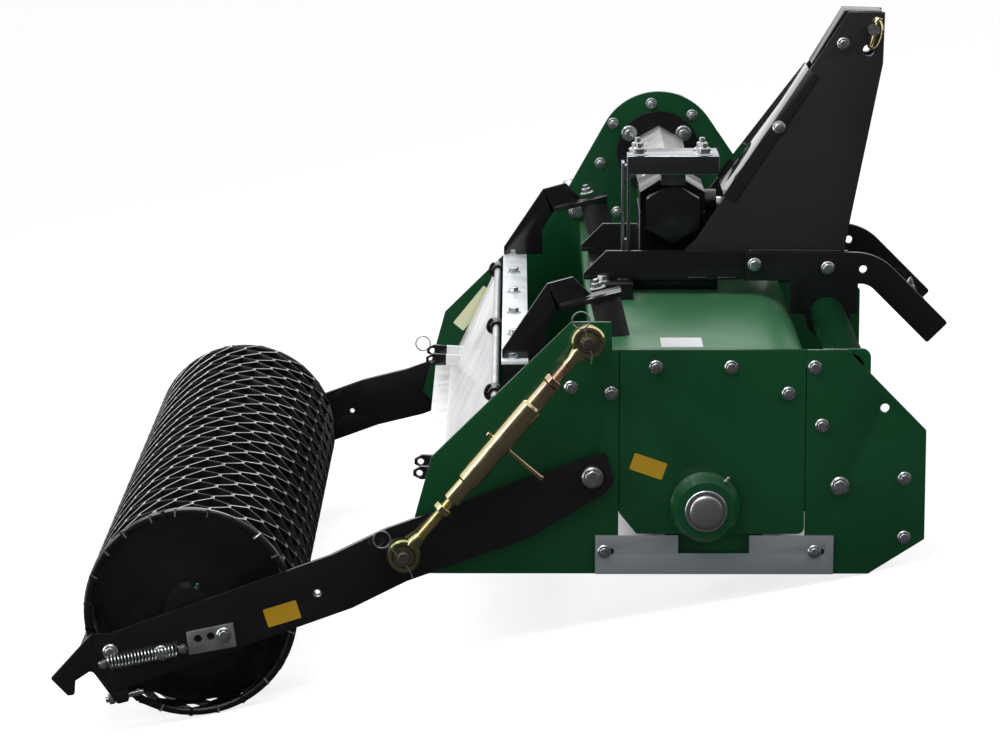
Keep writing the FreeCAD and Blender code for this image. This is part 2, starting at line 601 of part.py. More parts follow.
def buffer_brackets():
    """Cranked plates from the sieve to the rubber buffers on the hood."""
    lift = HOOD_TOP + 59   # underside of the tab that rests on the buffer
    plate = side_profile([
        (STRIP_BACK + 1, STRIP_TOP), (STRIP_BACK + 1, STRIP_TOP + 13), (-243, HOOD_TOP + 80),
        (-203, HOOD_TOP + 91), (-175, lift + 4), (-223, lift - 19, 12), (-244, HOOD_TOP + 8, 12),
        (-244, STRIP_TOP)], -BRACKET_Y - BRACKET_SHEET / 2, -BRACKET_Y + BRACKET_SHEET / 2)
    tab = side_profile([(-222, lift - 10), (-128, lift + 13), (-128, lift + 5), (-222, lift - 18)],
                       -BRACKET_Y - 26, -BRACKET_Y + 26)
    bracket = fuse([plate, tab])
    pieces["buffer_brackets"] = Part.makeCompound([bracket, mirrored(bracket)])
    axis = V(0.238, 0, -0.971)
    rubber = Part.makeCylinder(BUFFER_R, 90, V(-154, -BRACKET_Y, lift + 3), axis)
    rubber = rubber.common(box(-FAR, FAR, -FAR, FAR, HOOD_TOP, FAR)).cut(tab)
    pieces["rubber_buffers"] = Part.makeCompound([rubber, mirrored(rubber)])


# ---------------------------------------------------------------- rear flap
FLAP_GAP = 7.0             # side plate to flap
LUG_Y = 465.0
LUG_SHEET = 8.0
LUG_SPAN = 84.0            # between the two plates of a clevis
HOOK_Y = (-560, 0, 560)


def rear_flap():
    """Flap hung on a rod between the side plates, with two clevis lugs at its foot."""
    pieces["hinge_rod"] = bar_y(HINGE_AXIS, HINGE_R, -INNER, INNER)
    half = INNER - FLAP_GAP
    root = on_line(HINGE_AXIS, FLAP_FOOT, HINGE_R + 2)
    foot = FLAP_FOOT
    length = math.hypot(foot[0] - root[0], foot[1] - root[1])
    nx, nz = -(foot[1] - root[1]) / length * FLAP_SHEET, (foot[0] - root[0]) / length * FLAP_SHEET
    sheet = side_profile([root, foot, (foot[0] - FLAP_LIP, foot[1] - 3),
                          (foot[0] - FLAP_LIP, foot[1] - 3 - FLAP_SHEET), (foot[0] + nx, foot[1] + nz - 4, 5),
                          (root[0] + nx, root[1] + nz)], -half, half)
    knuckles = [ring_y(HINGE_AXIS, HINGE_R + 5, HINGE_R + RUN_FIT, y - 20, y + 20) for y in HOOK_Y]
    lugs = [side_profile([(-385, 34), (-440, 37), (-452, 30), (-452, 22), (-440, 16), (-393, 17)],
                         middle - LUG_SHEET / 2, middle + LUG_SHEET / 2)
            for middle in (-LUG_Y - LUG_SPAN / 2, -LUG_Y + LUG_SPAN / 2,
                           LUG_Y - LUG_SPAN / 2, LUG_Y + LUG_SPAN / 2)]
    lugs = [lug.cut(bar_y((-442, 26), 5, -HALF, HALF)) for lug in lugs]
    gap = bar_y(HINGE_AXIS, HINGE_R + RUN_FIT, -half - 1, half + 1)
    pieces["rear_flap"] = fuse([sheet.cut(gap)] + knuckles + lugs)


# ---------------------------------------------------------------- rotor
TUBE_TO_PLATE = 22.0       # rotor tube to side plate


def rotor():
    """Rotor tube with welded flanges, each carrying bolted tines with a bent cutting end."""
    tube_half = INNER - TUBE_TO_PLATE
    pieces["rotor_shaft"] = fuse([bar_y((0, 0), ROTOR_TUBE_R, -tube_half, tube_half),
                                  bar_y((0, 0), ROTOR_STUB_R, -HALF - 34, -tube_half),
                                  bar_y((0, 0), ROTOR_STUB_R, tube_half, HALF + 48)])
    flanges = []
    tines = []
    margin = FLANGE_SHEET / 2 + TINE_REACH
    pitch = 2 * (tube_half - margin) / (ROTOR_FLANGES - 1)
    for i in range(ROTOR_FLANGES):
        y = -tube_half + margin + i * pitch
        flanges.append(ring_y((0, 0), FLANGE_R, ROTOR_TUBE_R, y - FLANGE_SHEET / 2, y + FLANGE_SHEET / 2))
        for k in range(TINES_PER_FLANGE):
            turn = 360.0 / TINES_PER_FLANGE * (k + i / ROTOR_FLANGES)
            tines.append(tine(y, 1 if k % 2 else -1, turn))
    pieces["rotor_flanges"] = Part.makeCompound(flanges)
    pieces["rotor_tines"] = Part.makeCompound(tines)


def tine(y, side, turn):
    """Flat shank on one face of a flange, its end bent over along the rotor."""
    root = y + side * FLANGE_SHEET / 2
    tip = ROTOR_TIP_R
    shank = [(46, -11), (50, -15), (80, -18), (tip - 22, -16), (tip - 4, 12), (tip - 20, 14), (80, 16),
             (50, 15), (46, 11)]
    blade = [(tip - 26, -20), (tip - 17, -22), (tip - 1, 12), (tip - 12, 13)]
    ends = sorted((root, root + side * TINE_SHEET)), sorted((root, root + side * (TINE_REACH - 1)))
    piece = fuse([side_profile(shank, *ends[0]), side_profile(blade, *ends[1])])
    piece.rotate(V(0, 0, 0), V(0, 1, 0), turn)
    return piece


# ---------------------------------------------------------------- roller frame
def arm_point(along, above):
    """Point of the roller arm: distance behind its pivot and height over the line through it."""
    slope = math.radians(ARM_DROP)
    return (ARM_PIVOT[0] - along * math.cos(slope) - above * math.sin(slope),
            ARM_PIVOT[1] - along * math.sin(slope) + above * math.cos(slope))


def arm_outline(points):
    """Outline given along the arm, turned into the machine's frame."""
    return [arm_point(*point[:2]) + tuple(point[2:]) for point in points]


JOGGLE_FRONT = 330.0
JOGGLE_REAR = 412.0
ARM_END = 806.0
STOP_HOLE = (454.0, -17.0)


def roller_arms():
    """Flat arms beside the plates, joggled outwards to pass the roller's ends."""
    top, low = ARM_ABOVE, -ARM_BELOW
    front = side_profile(arm_outline([(-32, 27, 6), (-29, -20, 6), (-11, -31), (126, low, 80),
                                      (JOGGLE_FRONT, low), (JOGGLE_FRONT, top), (0, top)]),
                         -ARM_Y - ARM_SHEET, -ARM_Y)
    rear = side_profile(arm_outline([(JOGGLE_REAR, top), (ARM_END, top, 8), (ARM_END, low, 8),
                                     (JOGGLE_REAR, low)]), -ARM_FACE_Y, -ARM_OUT_Y)
    slope = ARM_SHEET * 0.55
    plan = [(JOGGLE_FRONT - slope, -ARM_Y), (JOGGLE_FRONT, -ARM_Y), (JOGGLE_REAR + slope, -ARM_OUT_Y),
            (JOGGLE_REAR + slope, -ARM_FACE_Y), (JOGGLE_REAR, -ARM_FACE_Y),
            (JOGGLE_FRONT - slope, -ARM_Y - ARM_SHEET)]
    lower_edge = [V(arm_point(a, low)[0], y, arm_point(a, low)[1]) for a, y in plan]
    (x0, z0), (x1, z1) = arm_point(0, low), arm_point(0, top)
    joggle = Part.Face(Part.makePolygon(lower_edge + lower_edge[:1])).extrude(V(x1 - x0, 0, z1 - z0))
    arm = fuse([front, joggle, rear])
    arm = arm.cut(bar_y(ARM_PIVOT, LINK_PIN_R + RUN_FIT, -ARM_Y - ARM_SHEET - 1, -ARM_Y + 1))
    arm = arm.cut(bar_y(arm_point(*STOP_HOLE), 9, -FAR, FAR))
    pieces["roller_arms"] = Part.makeCompound([arm, mirrored(arm)])
    head_y = -ARM_Y - ARM_SHEET
    pivot = fuse([bar_y(ARM_PIVOT, LINK_PIN_R, head_y - 8, -INNER),
                  bar_y(ARM_PIVOT, 16, head_y - 8, head_y - 1),
                  bar_y(ARM_PIVOT, 18, -ARM_Y + 1, -HALF)])
    pieces["arm_pivots"] = Part.makeCompound([pivot, mirrored(pivot)])
    boss = revolve_y(ROLLER_AXIS, [
        (AXLE_R + RUN_FIT, -ARM_OUT_Y), (40, -ARM_OUT_Y), (40, -ARM_OUT_Y + 10), (32, -ARM_OUT_Y + 24),
        (AXLE_R + RUN_FIT, -ARM_OUT_Y + 24)])
    pieces["roller_bearings"] = Part.makeCompound([boss, mirrored(boss)])


def roller():
    """Mesh drum, dished end discs set in from its ends, and the axle through them."""
    pieces["roller_drum"] = ring_y(ROLLER_AXIS, ROLLER_R, ROLLER_R - ROLLER_SHEET, -ROLLER_HALF, ROLLER_HALF)
    y = -ROLLER_HALF + DISC_INSET
    rim = ROLLER_R - ROLLER_SHEET - SEAT
    dish = 20.0
    disc = revolve_y(ROLLER_AXIS, [
        (AXLE_R + RUN_FIT, y), (50, y), (rim - 8, y + dish), (rim, y + dish), (rim, y + dish + DISC_SHEET),
        (48, y + DISC_SHEET), (AXLE_R + RUN_FIT, y + DISC_SHEET)])
    pieces["roller_discs"] = Part.makeCompound([disc, mirrored(disc)])
    pieces["roller_axle"] = bar_y(ROLLER_AXIS, AXLE_R, -ARM_OUT_Y + 1, ARM_OUT_Y - 1)


SCRAPER_EDGE = 8.0         # blade to roller
SCRAPER_AIM = (-982.0, -268.0)
SCRAPER_SHEET = 8.0
SPRING_START = (-928.0, -239.0)
SPRING_END = (-800.0, -213.0)
SPRING_R = 8.5
SPRING_PLATE_SHEET = 5.0


def scraper():
    """Blade behind the roller, between the brackets at the ends of the arms, and its springs."""
    bracket = side_profile([(-942, -187), (-1006, -258, 3), (-980, -285, 3), (-970, -284, 3), (-968, -255, 9),
                            (-942, -245, 9), (-903, -300, 6), (-888, -288, 6), (-880, -187)],
                           -ARM_FACE_Y, -ARM_OUT_Y).cut(pieces["roller_arms"])
    aim = SCRAPER_AIM
    tip = on_line(ROLLER_AXIS, aim, ROLLER_R + SCRAPER_EDGE)
    length = math.hypot(aim[0] - tip[0], aim[1] - tip[1])
    half = SCRAPER_SHEET / 2
    nx, nz = -(aim[1] - tip[1]) / length * half, (aim[0] - tip[0]) / length * half
    blade = side_profile([(tip[0] - nx, tip[1] - nz), (aim[0] - nx, aim[1] - nz),
                          (aim[0] + nx, aim[1] + nz), (tip[0] + nx / 4, tip[1] + nz / 4)],
                         -ARM_OUT_Y, ARM_OUT_Y)
    pieces["scraper"] = fuse([blade, bracket, mirrored(bracket)])
    start, end = SPRING_START, SPRING_END
    direction = V(end[0] - start[0], 0, end[1] - start[1])
    y = -ARM_FACE_Y - 12
    spring = Part.makeCylinder(SPRING_R, direction.Length, V(start[0], y, start[1]), direction)
    hooks = [bar_y(spot, 5, y, -ARM_FACE_Y) for spot in (start, end)]
    coil = fuse([spring] + hooks)
    pieces["scraper_springs"] = Part.makeCompound([coil, mirrored(coil)])
    plate = side_profile([(-796, -183), (-724, -168), (-719, -205), (-792, -219)],
                         -ARM_FACE_Y - SPRING_PLATE_SHEET, -ARM_FACE_Y).cut(hooks[1])
    pieces["spring_plates"] = Part.makeCompound([plate, mirrored(plate)])


# ---------------------------------------------------------------- turnbuckles
def link_bar(start_distance, end_distance, radius):
    """Round length of the turnbuckle, measured from its top pin."""
    start = on_line(LINK_TOP, LINK_FOOT, start_distance)
    end = on_line(LINK_TOP, LINK_FOOT, end_distance)
    direction = V(end[0] - start[0], 0, end[1] - start[1])
    return Part.makeCylinder(radius, direction.Length, V(start[0], -LINK_Y, start[1]), direction)


BARREL_START = 131.0       # distances from the top pin along the turnbuckle
BARREL_END = 285.0
COLLAR_START = 87.0
COLLAR_END = 324.0
THREAD_BORE = 200.0        # where the lower rod's bore begins
ROD_END = 246.0            # inner end of the lower rod


def turnbuckles():
    """Threaded barrel with a ball eye at the top and a rod with its own eye below."""
    length = math.hypot(LINK_FOOT[0] - LINK_TOP[0], LINK_FOOT[1] - LINK_TOP[1])
    eye_low, eye_high = -LINK_Y - LINK_EYE_WIDTH / 2, -LINK_Y + LINK_EYE_WIDTH / 2
    upper_eye = ring_y(LINK_TOP, LINK_EYE_R, LINK_PIN_R + RUN_FIT, eye_low, eye_high)
    upper = fuse([upper_eye, link_bar(LINK_EYE_R - 2, BARREL_START, LINK_ROD_R)])
    barrel = fuse([link_bar(COLLAR_START, BARREL_START + 4, LINK_COLLAR_R),
                   link_bar(BARREL_START, BARREL_END, LINK_BARREL_R),
                   link_bar(BARREL_END - 4, COLLAR_END, LINK_COLLAR_R)])
    barrel = barrel.cut(link_bar(THREAD_BORE - 20, COLLAR_END + 1, LINK_ROD_R + RUN_FIT))
    lower_eye = bar_y(LINK_FOOT, LINK_EYE_R, eye_low, eye_high)
    lower = fuse([lower_eye, link_bar(ROD_END, length - LINK_EYE_R + 2, LINK_ROD_R)])
    pin_end = eye_low - 14
    foot_pin = bar_y(LINK_FOOT, LINK_PIN_R, pin_end, -ARM_Y - ARM_SHEET - SEAT)
    top_pin = fuse([bar_y(LINK_TOP, LINK_PIN_R, pin_end, -INNER),
                    bar_y(LINK_TOP, LINK_PIN_R + 6, eye_high + 1, -HALF)])
    pieces["turnbuckle_top_pins"] = Part.makeCompound([top_pin, mirrored(top_pin)])
    for name, shape in (("turnbuckle_barrel", fuse([barrel, upper])),
                        ("turnbuckle_rod", fuse([lower, foot_pin]))):
        pieces[name + "_right"] = shape
        pieces[name + "_left"] = mirrored(shape)


# ---------------------------------------------------------------- standing on the floor
def floor_slope():
    """Nose-down angle of the line from the roller's underside to the plates' front corners."""
    dx = PLATE_FOOT - ROLLER_AXIS[0]
    dz = PLATE_BOTTOM - ROLLER_AXIS[1]
    return math.atan2(dz, dx) + math.asin(ROLLER_R / math.hypot(dx, dz))


def placement():
    """Tips the level machine onto the floor and centres its box over the origin."""
    turn = FreeCAD.Placement(V(0, 0, 0), FreeCAD.Rotation(V(0, 1, 0), math.degrees(floor_slope())))
    whole = Part.makeCompound([shape.copy() for shape in pieces.values()])
    whole.Placement = turn.multiply(whole.Placement)
    bounds = whole.optimalBoundingBox(False, False)
    shift = V(-(bounds.XMin + bounds.XMax) / 2, -(bounds.YMin + bounds.YMax) / 2, -bounds.ZMin)
    return FreeCAD.Placement(shift, FreeCAD.Rotation()).multiply(turn)


def main():
    for build in (right_side, seam_straps, left_side, drive_case, closing_plate, bearing_right, hood,
                  front_tube, rear_rail, headstock, lower_link_pins, tube_saddles, mast_sides, mast_head,
                  gearbox, drive_tube, gearbox_bracket, sieve, buffer_brackets, rear_flap, rotor,
                  roller_arms, roller, scraper, turnbuckles):
        build()
    os.makedirs("parts", exist_ok=True)
    place = placement()
    for name, shape in pieces.items():
        shape.Placement = place.multiply(shape.Placement)
        shape.exportStep("parts/" + name + ".step")
        print(name, round(shape.Volume / 1000), "cm3", "solids", len(shape.Solids), "valid", shape.isValid())
    for name, point in (("rotor", (0, 0)), ("drive", DRIVE_AXIS), ("roller", ROLLER_AXIS),
                        ("arm_pivot", ARM_PIVOT), ("link_top", LINK_TOP), ("link_foot", LINK_FOOT),
                        ("flap_hinge", HINGE_AXIS), ("lower_pin", LOWER_PIN), ("top_pin", TOP_PIN)):
        spot = place.multVec(V(point[0], 0, point[1]))
        print("point", name, *(round(c / 1000, 6) for c in spot))
    print("slope", round(math.degrees(floor_slope()), 4))


main()
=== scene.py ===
# %% [markdown]
# # A stone burier in Blender
# A stone burier is a rotary tiller that turns backwards: the rotor throws soil and stones against a
# sieve, the stones fall first and the fine soil covers them, and a mesh roller at the back packs the
# seed bed. The frame that is loaded here already holds every working part at its true size, and this
# script adds what a maker would see on the finished machine: paint, zinc, fasteners, springs, clips
# and the expanded mesh of the roller.

# %% Load the frame
import json
import math
import bpy
from mathutils import Matrix, Vector


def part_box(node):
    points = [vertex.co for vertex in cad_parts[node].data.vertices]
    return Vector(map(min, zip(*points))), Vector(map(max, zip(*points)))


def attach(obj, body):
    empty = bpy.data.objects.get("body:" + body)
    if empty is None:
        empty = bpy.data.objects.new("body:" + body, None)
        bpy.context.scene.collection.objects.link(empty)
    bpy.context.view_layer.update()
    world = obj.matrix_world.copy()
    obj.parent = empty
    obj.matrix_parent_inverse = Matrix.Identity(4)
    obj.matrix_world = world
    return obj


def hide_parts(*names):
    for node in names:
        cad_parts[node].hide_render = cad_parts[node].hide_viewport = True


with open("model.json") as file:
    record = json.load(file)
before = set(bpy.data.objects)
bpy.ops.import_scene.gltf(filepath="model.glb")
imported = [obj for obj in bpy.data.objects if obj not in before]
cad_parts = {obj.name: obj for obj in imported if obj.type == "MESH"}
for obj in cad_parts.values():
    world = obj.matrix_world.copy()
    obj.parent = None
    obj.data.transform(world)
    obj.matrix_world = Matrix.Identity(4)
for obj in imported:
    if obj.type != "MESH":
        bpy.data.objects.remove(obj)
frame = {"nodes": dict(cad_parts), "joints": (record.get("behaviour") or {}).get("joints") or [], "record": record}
nodes = frame["nodes"]
joints = {joint["name"]: joint for joint in frame["joints"]}
mounts = {mount["name"]: mount for mount in frame["record"]["mounts"]}
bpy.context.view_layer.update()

# %% [markdown]
# The machine was built level and then tipped nose down until it stood on its roller and its side
# plates. Most new pieces are easier to place on the level machine, with x forward, y to its left and
# z up from the middle of the rotor. The drive shaft points straight forward on the level machine, so
# its axis in the frame gives the tip, and one matrix takes a piece from level to standing.

# %% The level machine
forward = Vector(joints["pto_shaft_spin"]["axis"])
level_up = Vector((-forward.z, 0, forward.x))
rotor_centre = Vector(joints["rotor_spin"]["pos_m"])
LEVEL = Matrix((
    (forward.x, 0, level_up.x, rotor_centre.x),
    (0, 1, 0, rotor_centre.y),
    (forward.z, 0, level_up.z, rotor_centre.z),
    (0, 0, 0, 1)))


def on_level(point):
    """Level coordinates of a point of the frame."""
    return LEVEL.inverted() @ Vector(point)


def spot(name):
    """Level place of a joint or a mount, as x and z."""
    place = on_level((joints.get(name) or mounts[name])["pos_m"])
    return place.x, place.z


def level_box(name):
    """Lowest and highest corner of a node on the level machine."""
    node = nodes[name]
    places = [on_level(node.matrix_world @ vertex.co) for vertex in node.data.vertices]
    return [Vector([pick(place[axis] for place in places) for axis in range(3)]) for pick in (min, max)]


ROLLER = spot("roller_spin")
ARM_PIVOT = spot("roller_frame_lift")
HINGE = spot("rear_flap_hinge")
LINK_TOP = spot("turnbuckle_right_swing")
TOP_PIN = spot("top_link_pin")
LOWER_PIN = spot("lower_link_pin_right")
SIDE = -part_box("side_plate_right_rear")[0].y
print("tip", round(math.degrees(math.asin(-forward.z)), 2), "degrees, half width", round(SIDE, 4))

# %% [markdown]
# ## Camera
# The machine is seen square from its right side, from a little behind and a little above. A long lens
# keeps its near and its far side almost the same size, so that its long edges stay parallel. On the
# level machine the camera looks down by eleven degrees and hardly turns.

# %% Camera
CAMERA_PLACE = (-0.2920, -6.7893, 1.4278)
CAMERA_DOWN = math.radians(11.216)
CAMERA_TURN = math.radians(0.22)
LENS = 147.96

view = Matrix.Translation(CAMERA_PLACE) @ Matrix.Rotation(CAMERA_TURN, 4, "Z")
view = view @ Matrix.Rotation(math.pi / 2 - CAMERA_DOWN, 4, "X")
bpy.ops.object.camera_add()
camera = bpy.context.object
camera.name = "camera"
camera.matrix_world = LEVEL @ view
camera.data.lens = LENS
camera.data.sensor_width = 36
camera.data.clip_end = 60
bpy.context.scene.camera = camera
print("camera at", [round(value, 3) for value in camera.location])

# %% [markdown]
# ## Studio
# The machine stands in a white studio. The floor is pale and keeps a soft shadow, while the world
# behind it is white to the camera and lights the machine at a plain level. Gloss black and gloss green
# paint show little but what they reflect. So the paper sweep behind and above the machine is white in
# reflections too, and the room on the camera's side is dark, as it is in a real studio.

# %% Helpers for shader nodes
def node_of(tree, kind, *in_order, **by_name):
    """Add a shader node; its inputs are set to a number or colour, or linked to another node's output."""
    made = tree.nodes.new("ShaderNode" + kind)
    given = list(zip(made.inputs, in_order))
    given += [(made.inputs[name.replace("_", " ")], value) for name, value in by_name.items()]
    for socket, value in given:
        if isinstance(value, bpy.types.NodeSocket):
            tree.links.new(value, socket)
        else:
            socket.default_value = value
    return made


def math_of(tree, operation, first, second):
    """Maths node over two sockets or numbers."""
    made = node_of(tree, "Math", first, second)
    made.operation = operation
    return made.outputs[0]


def between(tree, value, start, end, low, high, step="LINEAR"):
    """Number that goes from low to high while a value goes from start to end."""
    made = node_of(tree, "MapRange", Value=value, From_Min=start, From_Max=end, To_Min=low, To_Max=high)
    made.interpolation_type = step
    return made.outputs["Result"]


def axes_of(tree, coordinates):
    """X, Y and Z of one kind of coordinates."""
    place = node_of(tree, "TexCoord").outputs[coordinates]
    return node_of(tree, "SeparateXYZ", place).outputs


def empty_tree(owner):
    """Node tree of a world or material, with nothing in it."""
    owner.use_nodes = True
    owner.node_tree.nodes.clear()
    return owner.node_tree


# %% World
WORLD_LIGHT = 0.5
ROOM_DARK = 0.03
scene = bpy.context.scene
scene.view_settings.view_transform = "Standard"
scene.world = bpy.data.worlds.new("studio")
tree = empty_tree(scene.world)
rays = node_of(tree, "LightPath").outputs
direction = axes_of(tree, "Generated")
behind = between(tree, direction["Y"], -0.45, 0.05, ROOM_DARK, 1, "SMOOTHSTEP")
above = between(tree, direction["Z"], 0.5, 0.9, ROOM_DARK, 1, "SMOOTHSTEP")
mirrored = math_of(tree, "MAXIMUM", rays["Is Glossy Ray"], rays["Is Transmission Ray"])
strength = math_of(tree, "MULTIPLY", mirrored, math_of(tree, "MAXIMUM", behind, above))
strength = math_of(tree, "MAXIMUM", strength, rays["Is Camera Ray"])
plain = math_of(tree, "MULTIPLY", rays["Is Diffuse Ray"], WORLD_LIGHT)
strength = math_of(tree, "MAXIMUM", strength, plain)
background = node_of(tree, "Background", (1, 1, 1, 1), strength)
node_of(tree, "OutputWorld", background.outputs[0])
print("world", len(tree.nodes), "nodes")

# %% [markdown]
# The floor glows white to the camera wherever it is open. Under the machine, between its side plates, a painted
# shadow fades the glow and the pale colour out, for the shade that the machine casts there. In gloss the floor is
# dark.

# %% Floor
FLOOR_GLOW = 0.78
UNDER_LENGTH = 0.44                         # the dark floor: back from the plates' front corners
UNDER_LEFT = 0.58                           # out to the left plate
UNDER_RIGHT = 0.60                          # out to the right plate, where its edge runs aslant
UNDER_SLANT = 1.04
UNDER_FADE = 0.12
UNDER_GLOW = 0.04                           # share of the glow that is left there
front = rotor_centre.x + 0.225              # where the plates' front corners stand
bpy.ops.object.select_all(action="DESELECT")
bpy.ops.mesh.primitive_plane_add(size=80, location=(0, 0, -0.001))
floor = bpy.context.object
floor.name = "floor"
paper = bpy.data.materials.new("studio_floor")
tree = empty_tree(paper)
rays = node_of(tree, "LightPath").outputs
place = axes_of(tree, "Object")
# Painted shadow: a mask on the floor's own coordinates darkens it between the side plates, back from their front
# corners.
slant = math_of(tree, "MULTIPLY", math_of(tree, "SUBTRACT", place["X"], front), UNDER_SLANT)
under = math_of(tree, "ADD", math_of(tree, "ADD", place["Y"], slant), UNDER_RIGHT)
for far, near in ((front, place["X"]), (place["X"], front - UNDER_LENGTH), (UNDER_LEFT, place["Y"])):
    under = math_of(tree, "MINIMUM", under, math_of(tree, "SUBTRACT", far, near))
floor_outside_painted_shadow = between(tree, under, 0.0, UNDER_FADE, 1.0, UNDER_GLOW)
seen = math_of(tree, "MULTIPLY", rays["Is Camera Ray"], floor_outside_painted_shadow)
glow = node_of(tree, "Emission", (1, 1, 1, 1), math_of(tree, "MULTIPLY", seen, FLOOR_GLOW))
shade = math_of(tree, "MAXIMUM", rays["Is Glossy Ray"], math_of(tree, "SUBTRACT", 1.0, floor_outside_painted_shadow))
pale, dark = [node_of(tree, "BsdfDiffuse", (grey, grey, grey, 1)) for grey in (0.4, 0.03)]
surface = node_of(tree, "MixShader", shade, pale.outputs[0], dark.outputs[0])
surface = node_of(tree, "AddShader", surface.outputs[0], glow.outputs[0])
node_of(tree, "OutputMaterial", surface.outputs[0])
floor.data.materials.append(paper)
print("floor", len(tree.nodes), "nodes")

# %% Lamps
LAMPS = {
    "key_above": ((-0.6, -1.6, 3.2), (0, 0, 0.3), 2.6, 1.4, 60),
    "strip_left": ((-2.6, -1.4, 1.5), (-0.2, -0.3, 0.3), 0.8, 2.4, 26),
    "strip_right": ((2.4, -1.8, 1.6), (0.2, -0.4, 0.3), 0.8, 2.2, 22),
    "back_above": ((0.2, 2.4, 2.8), (0, 0.2, 0.4), 2.4, 1.2, 40),
}
for name, (place, target, width, height, power) in LAMPS.items():
    bpy.ops.object.light_add(type="AREA", location=place)
    lamp = bpy.context.object
    lamp.name = name
    lamp.data.shape = "RECTANGLE"
    lamp.data.size, lamp.data.size_y = width, height
    lamp.data.energy = power
    aim = Vector(target) - Vector(place)
    lamp.rotation_euler = aim.to_track_quat("-Z", "Y").to_euler()
    lamp.visible_glossy = name != "strip_right"      # it only fills: near plates would show it
print("lamps:", ", ".join(LAMPS))

# %% [markdown]
# ## Paint and metal
# Sprayed paint on sheet steel is glossy with a very fine orange-peel ripple and is never quite one shade. The
# hood's paint is a lighter copy of the green: painted light on its upward face. Zinc is different: hot-dip and
# electroplated sheet has faint crystals and streaks, and yellow passivated zinc drifts from gold to olive and
# violet. Every finish here is a small node group of its own around one Principled shader, with patterns on Object
# coordinates, so that a pattern stays on the steel when a part moves.

# %% Finishes
def ramp(tree, value, stops):
    """Colour ramp over a value; stops are (place, colour)."""
    band = node_of(tree, "ValToRGB", value)
    elements = band.color_ramp.elements
    while len(elements) < len(stops):
        elements.new(0.5)
    for element, (place, colour) in zip(elements, stops):
        element.position = place
        element.color = (*colour, 1)
    return band.outputs["Color"]


def noise(tree, scale, detail):
    """Noise on Object coordinates."""
    place = node_of(tree, "TexCoord").outputs["Object"]
    return node_of(tree, "TexNoise", Vector=place, Scale=scale, Detail=detail).outputs["Fac"]


def ripple(tree, shader, value, depth):
    """Fine unevenness of a surface, in metres."""
    bump = node_of(tree, "Bump", Strength=1.0, Distance=depth, Height=value)
    tree.links.new(bump.outputs["Normal"], shader.inputs["Normal"])


def finish_of(name, metal, shades, rough, depth, shade_noise, rough_noise, ripple_noise):
    """Material in which shade, roughness and ripple each follow a noise of their own (scale, detail)."""
    material = bpy.data.materials.new(name)
    material.use_nodes = True
    tree = material.node_tree
    shader = tree.nodes["Principled BSDF"]
    shader.inputs["Metallic"].default_value = metal
    tree.links.new(ramp(tree, noise(tree, *shade_noise), shades), shader.inputs["Base Color"])
    tree.links.new(between(tree, noise(tree, *rough_noise), 0.3, 0.7, *rough), shader.inputs["Roughness"])
    ripple(tree, shader, noise(tree, *ripple_noise), depth)
    return material


def paint(name, dark, light, rough=(0.16, 0.26), peel=0.00012):
    """Sprayed gloss paint: two near shades, uneven gloss and a fine orange peel."""
    return finish_of(name, 0.0, [(0.35, dark), (0.65, light)], rough, peel, (3.5, 4), (9, 6), (420, 2))


def zinc(name, dark, light, rough=(0.28, 0.42), grain=60.0, metal=0.9):
    """Zinc coat: patches of crystal shade with a soft metallic shine."""
    return finish_of(name, metal, [(0.32, dark), (0.68, light)], rough, 0.00004, (grain, 5),
                     (grain * 0.6, 5), (grain * 8, 3))


# %% Paints
BLACK_SHADES = (0.0065, 0.0065, 0.0075), (0.0095, 0.0095, 0.0105)
GREEN = paint("green_gloss_paint", (0.004, 0.042, 0.014), (0.006, 0.056, 0.019))
WET_GREEN = paint("green_tube_paint", (0.005, 0.050, 0.017), (0.007, 0.066, 0.023), (0.08, 0.13), 0.00001)
# The hood's green is lighter than the plates' green: painted light from above on its upward face.
LIT_GREEN = paint("green_hood_paint", (0.034, 0.122, 0.054), (0.041, 0.140, 0.064), (0.34, 0.42), 0.00006)
LIT_GREEN.node_tree.nodes["Principled BSDF"].inputs["Specular IOR Level"].default_value = 0.12
BLACK = paint("black_gloss_paint", *BLACK_SHADES, (0.14, 0.24))
# A lighter black than the other gloss black, for the mast's sides and the tray's foot: a painted reflection of the
# studio on their gloss.
PAINTED_SHEEN_BLACK = paint("black_mast_paint", (0.013, 0.013, 0.016), (0.018, 0.0175, 0.0205), (0.14, 0.24))
WET_BLACK = paint("black_cover_paint", (0.008, 0.008, 0.009), (0.012, 0.012, 0.013), (0.04, 0.08), 0.00002)
for socket, value in (("Coat Weight", 1.0), ("Coat Roughness", 0.04)):
    WET_BLACK.node_tree.nodes["Principled BSDF"].inputs[socket].default_value = value
RUBBER = paint("black_rubber", (0.008, 0.008, 0.008), (0.014, 0.014, 0.014), (0.5, 0.65))
YELLOW_LABEL = paint("yellow_label", (0.33, 0.190, 0.003), (0.39, 0.230, 0.006), (0.28, 0.36), 0.00002)
PALE_LABEL = paint("pale_label", (0.66, 0.67, 0.42), (0.70, 0.71, 0.48), (0.3, 0.4), 0.00002)
WHITE_LABEL = paint("white_label", (0.63, 0.63, 0.64), (0.69, 0.69, 0.70), (0.3, 0.4), 0.00002)

DISC_BLACK = paint("black_disc_paint", *BLACK_SHADES, (0.10, 0.2))
tree = DISC_BLACK.node_tree                 # thin dished discs are dented as well
dents = ramp(tree, noise(tree, 7, 1), [(0.3, (0, 0, 0)), (0.7, (1, 1, 1))])
ripple(tree, tree.nodes["Principled BSDF"], dents, 0.016)
print("paints:", ", ".join(material.name for material in bpy.data.materials))

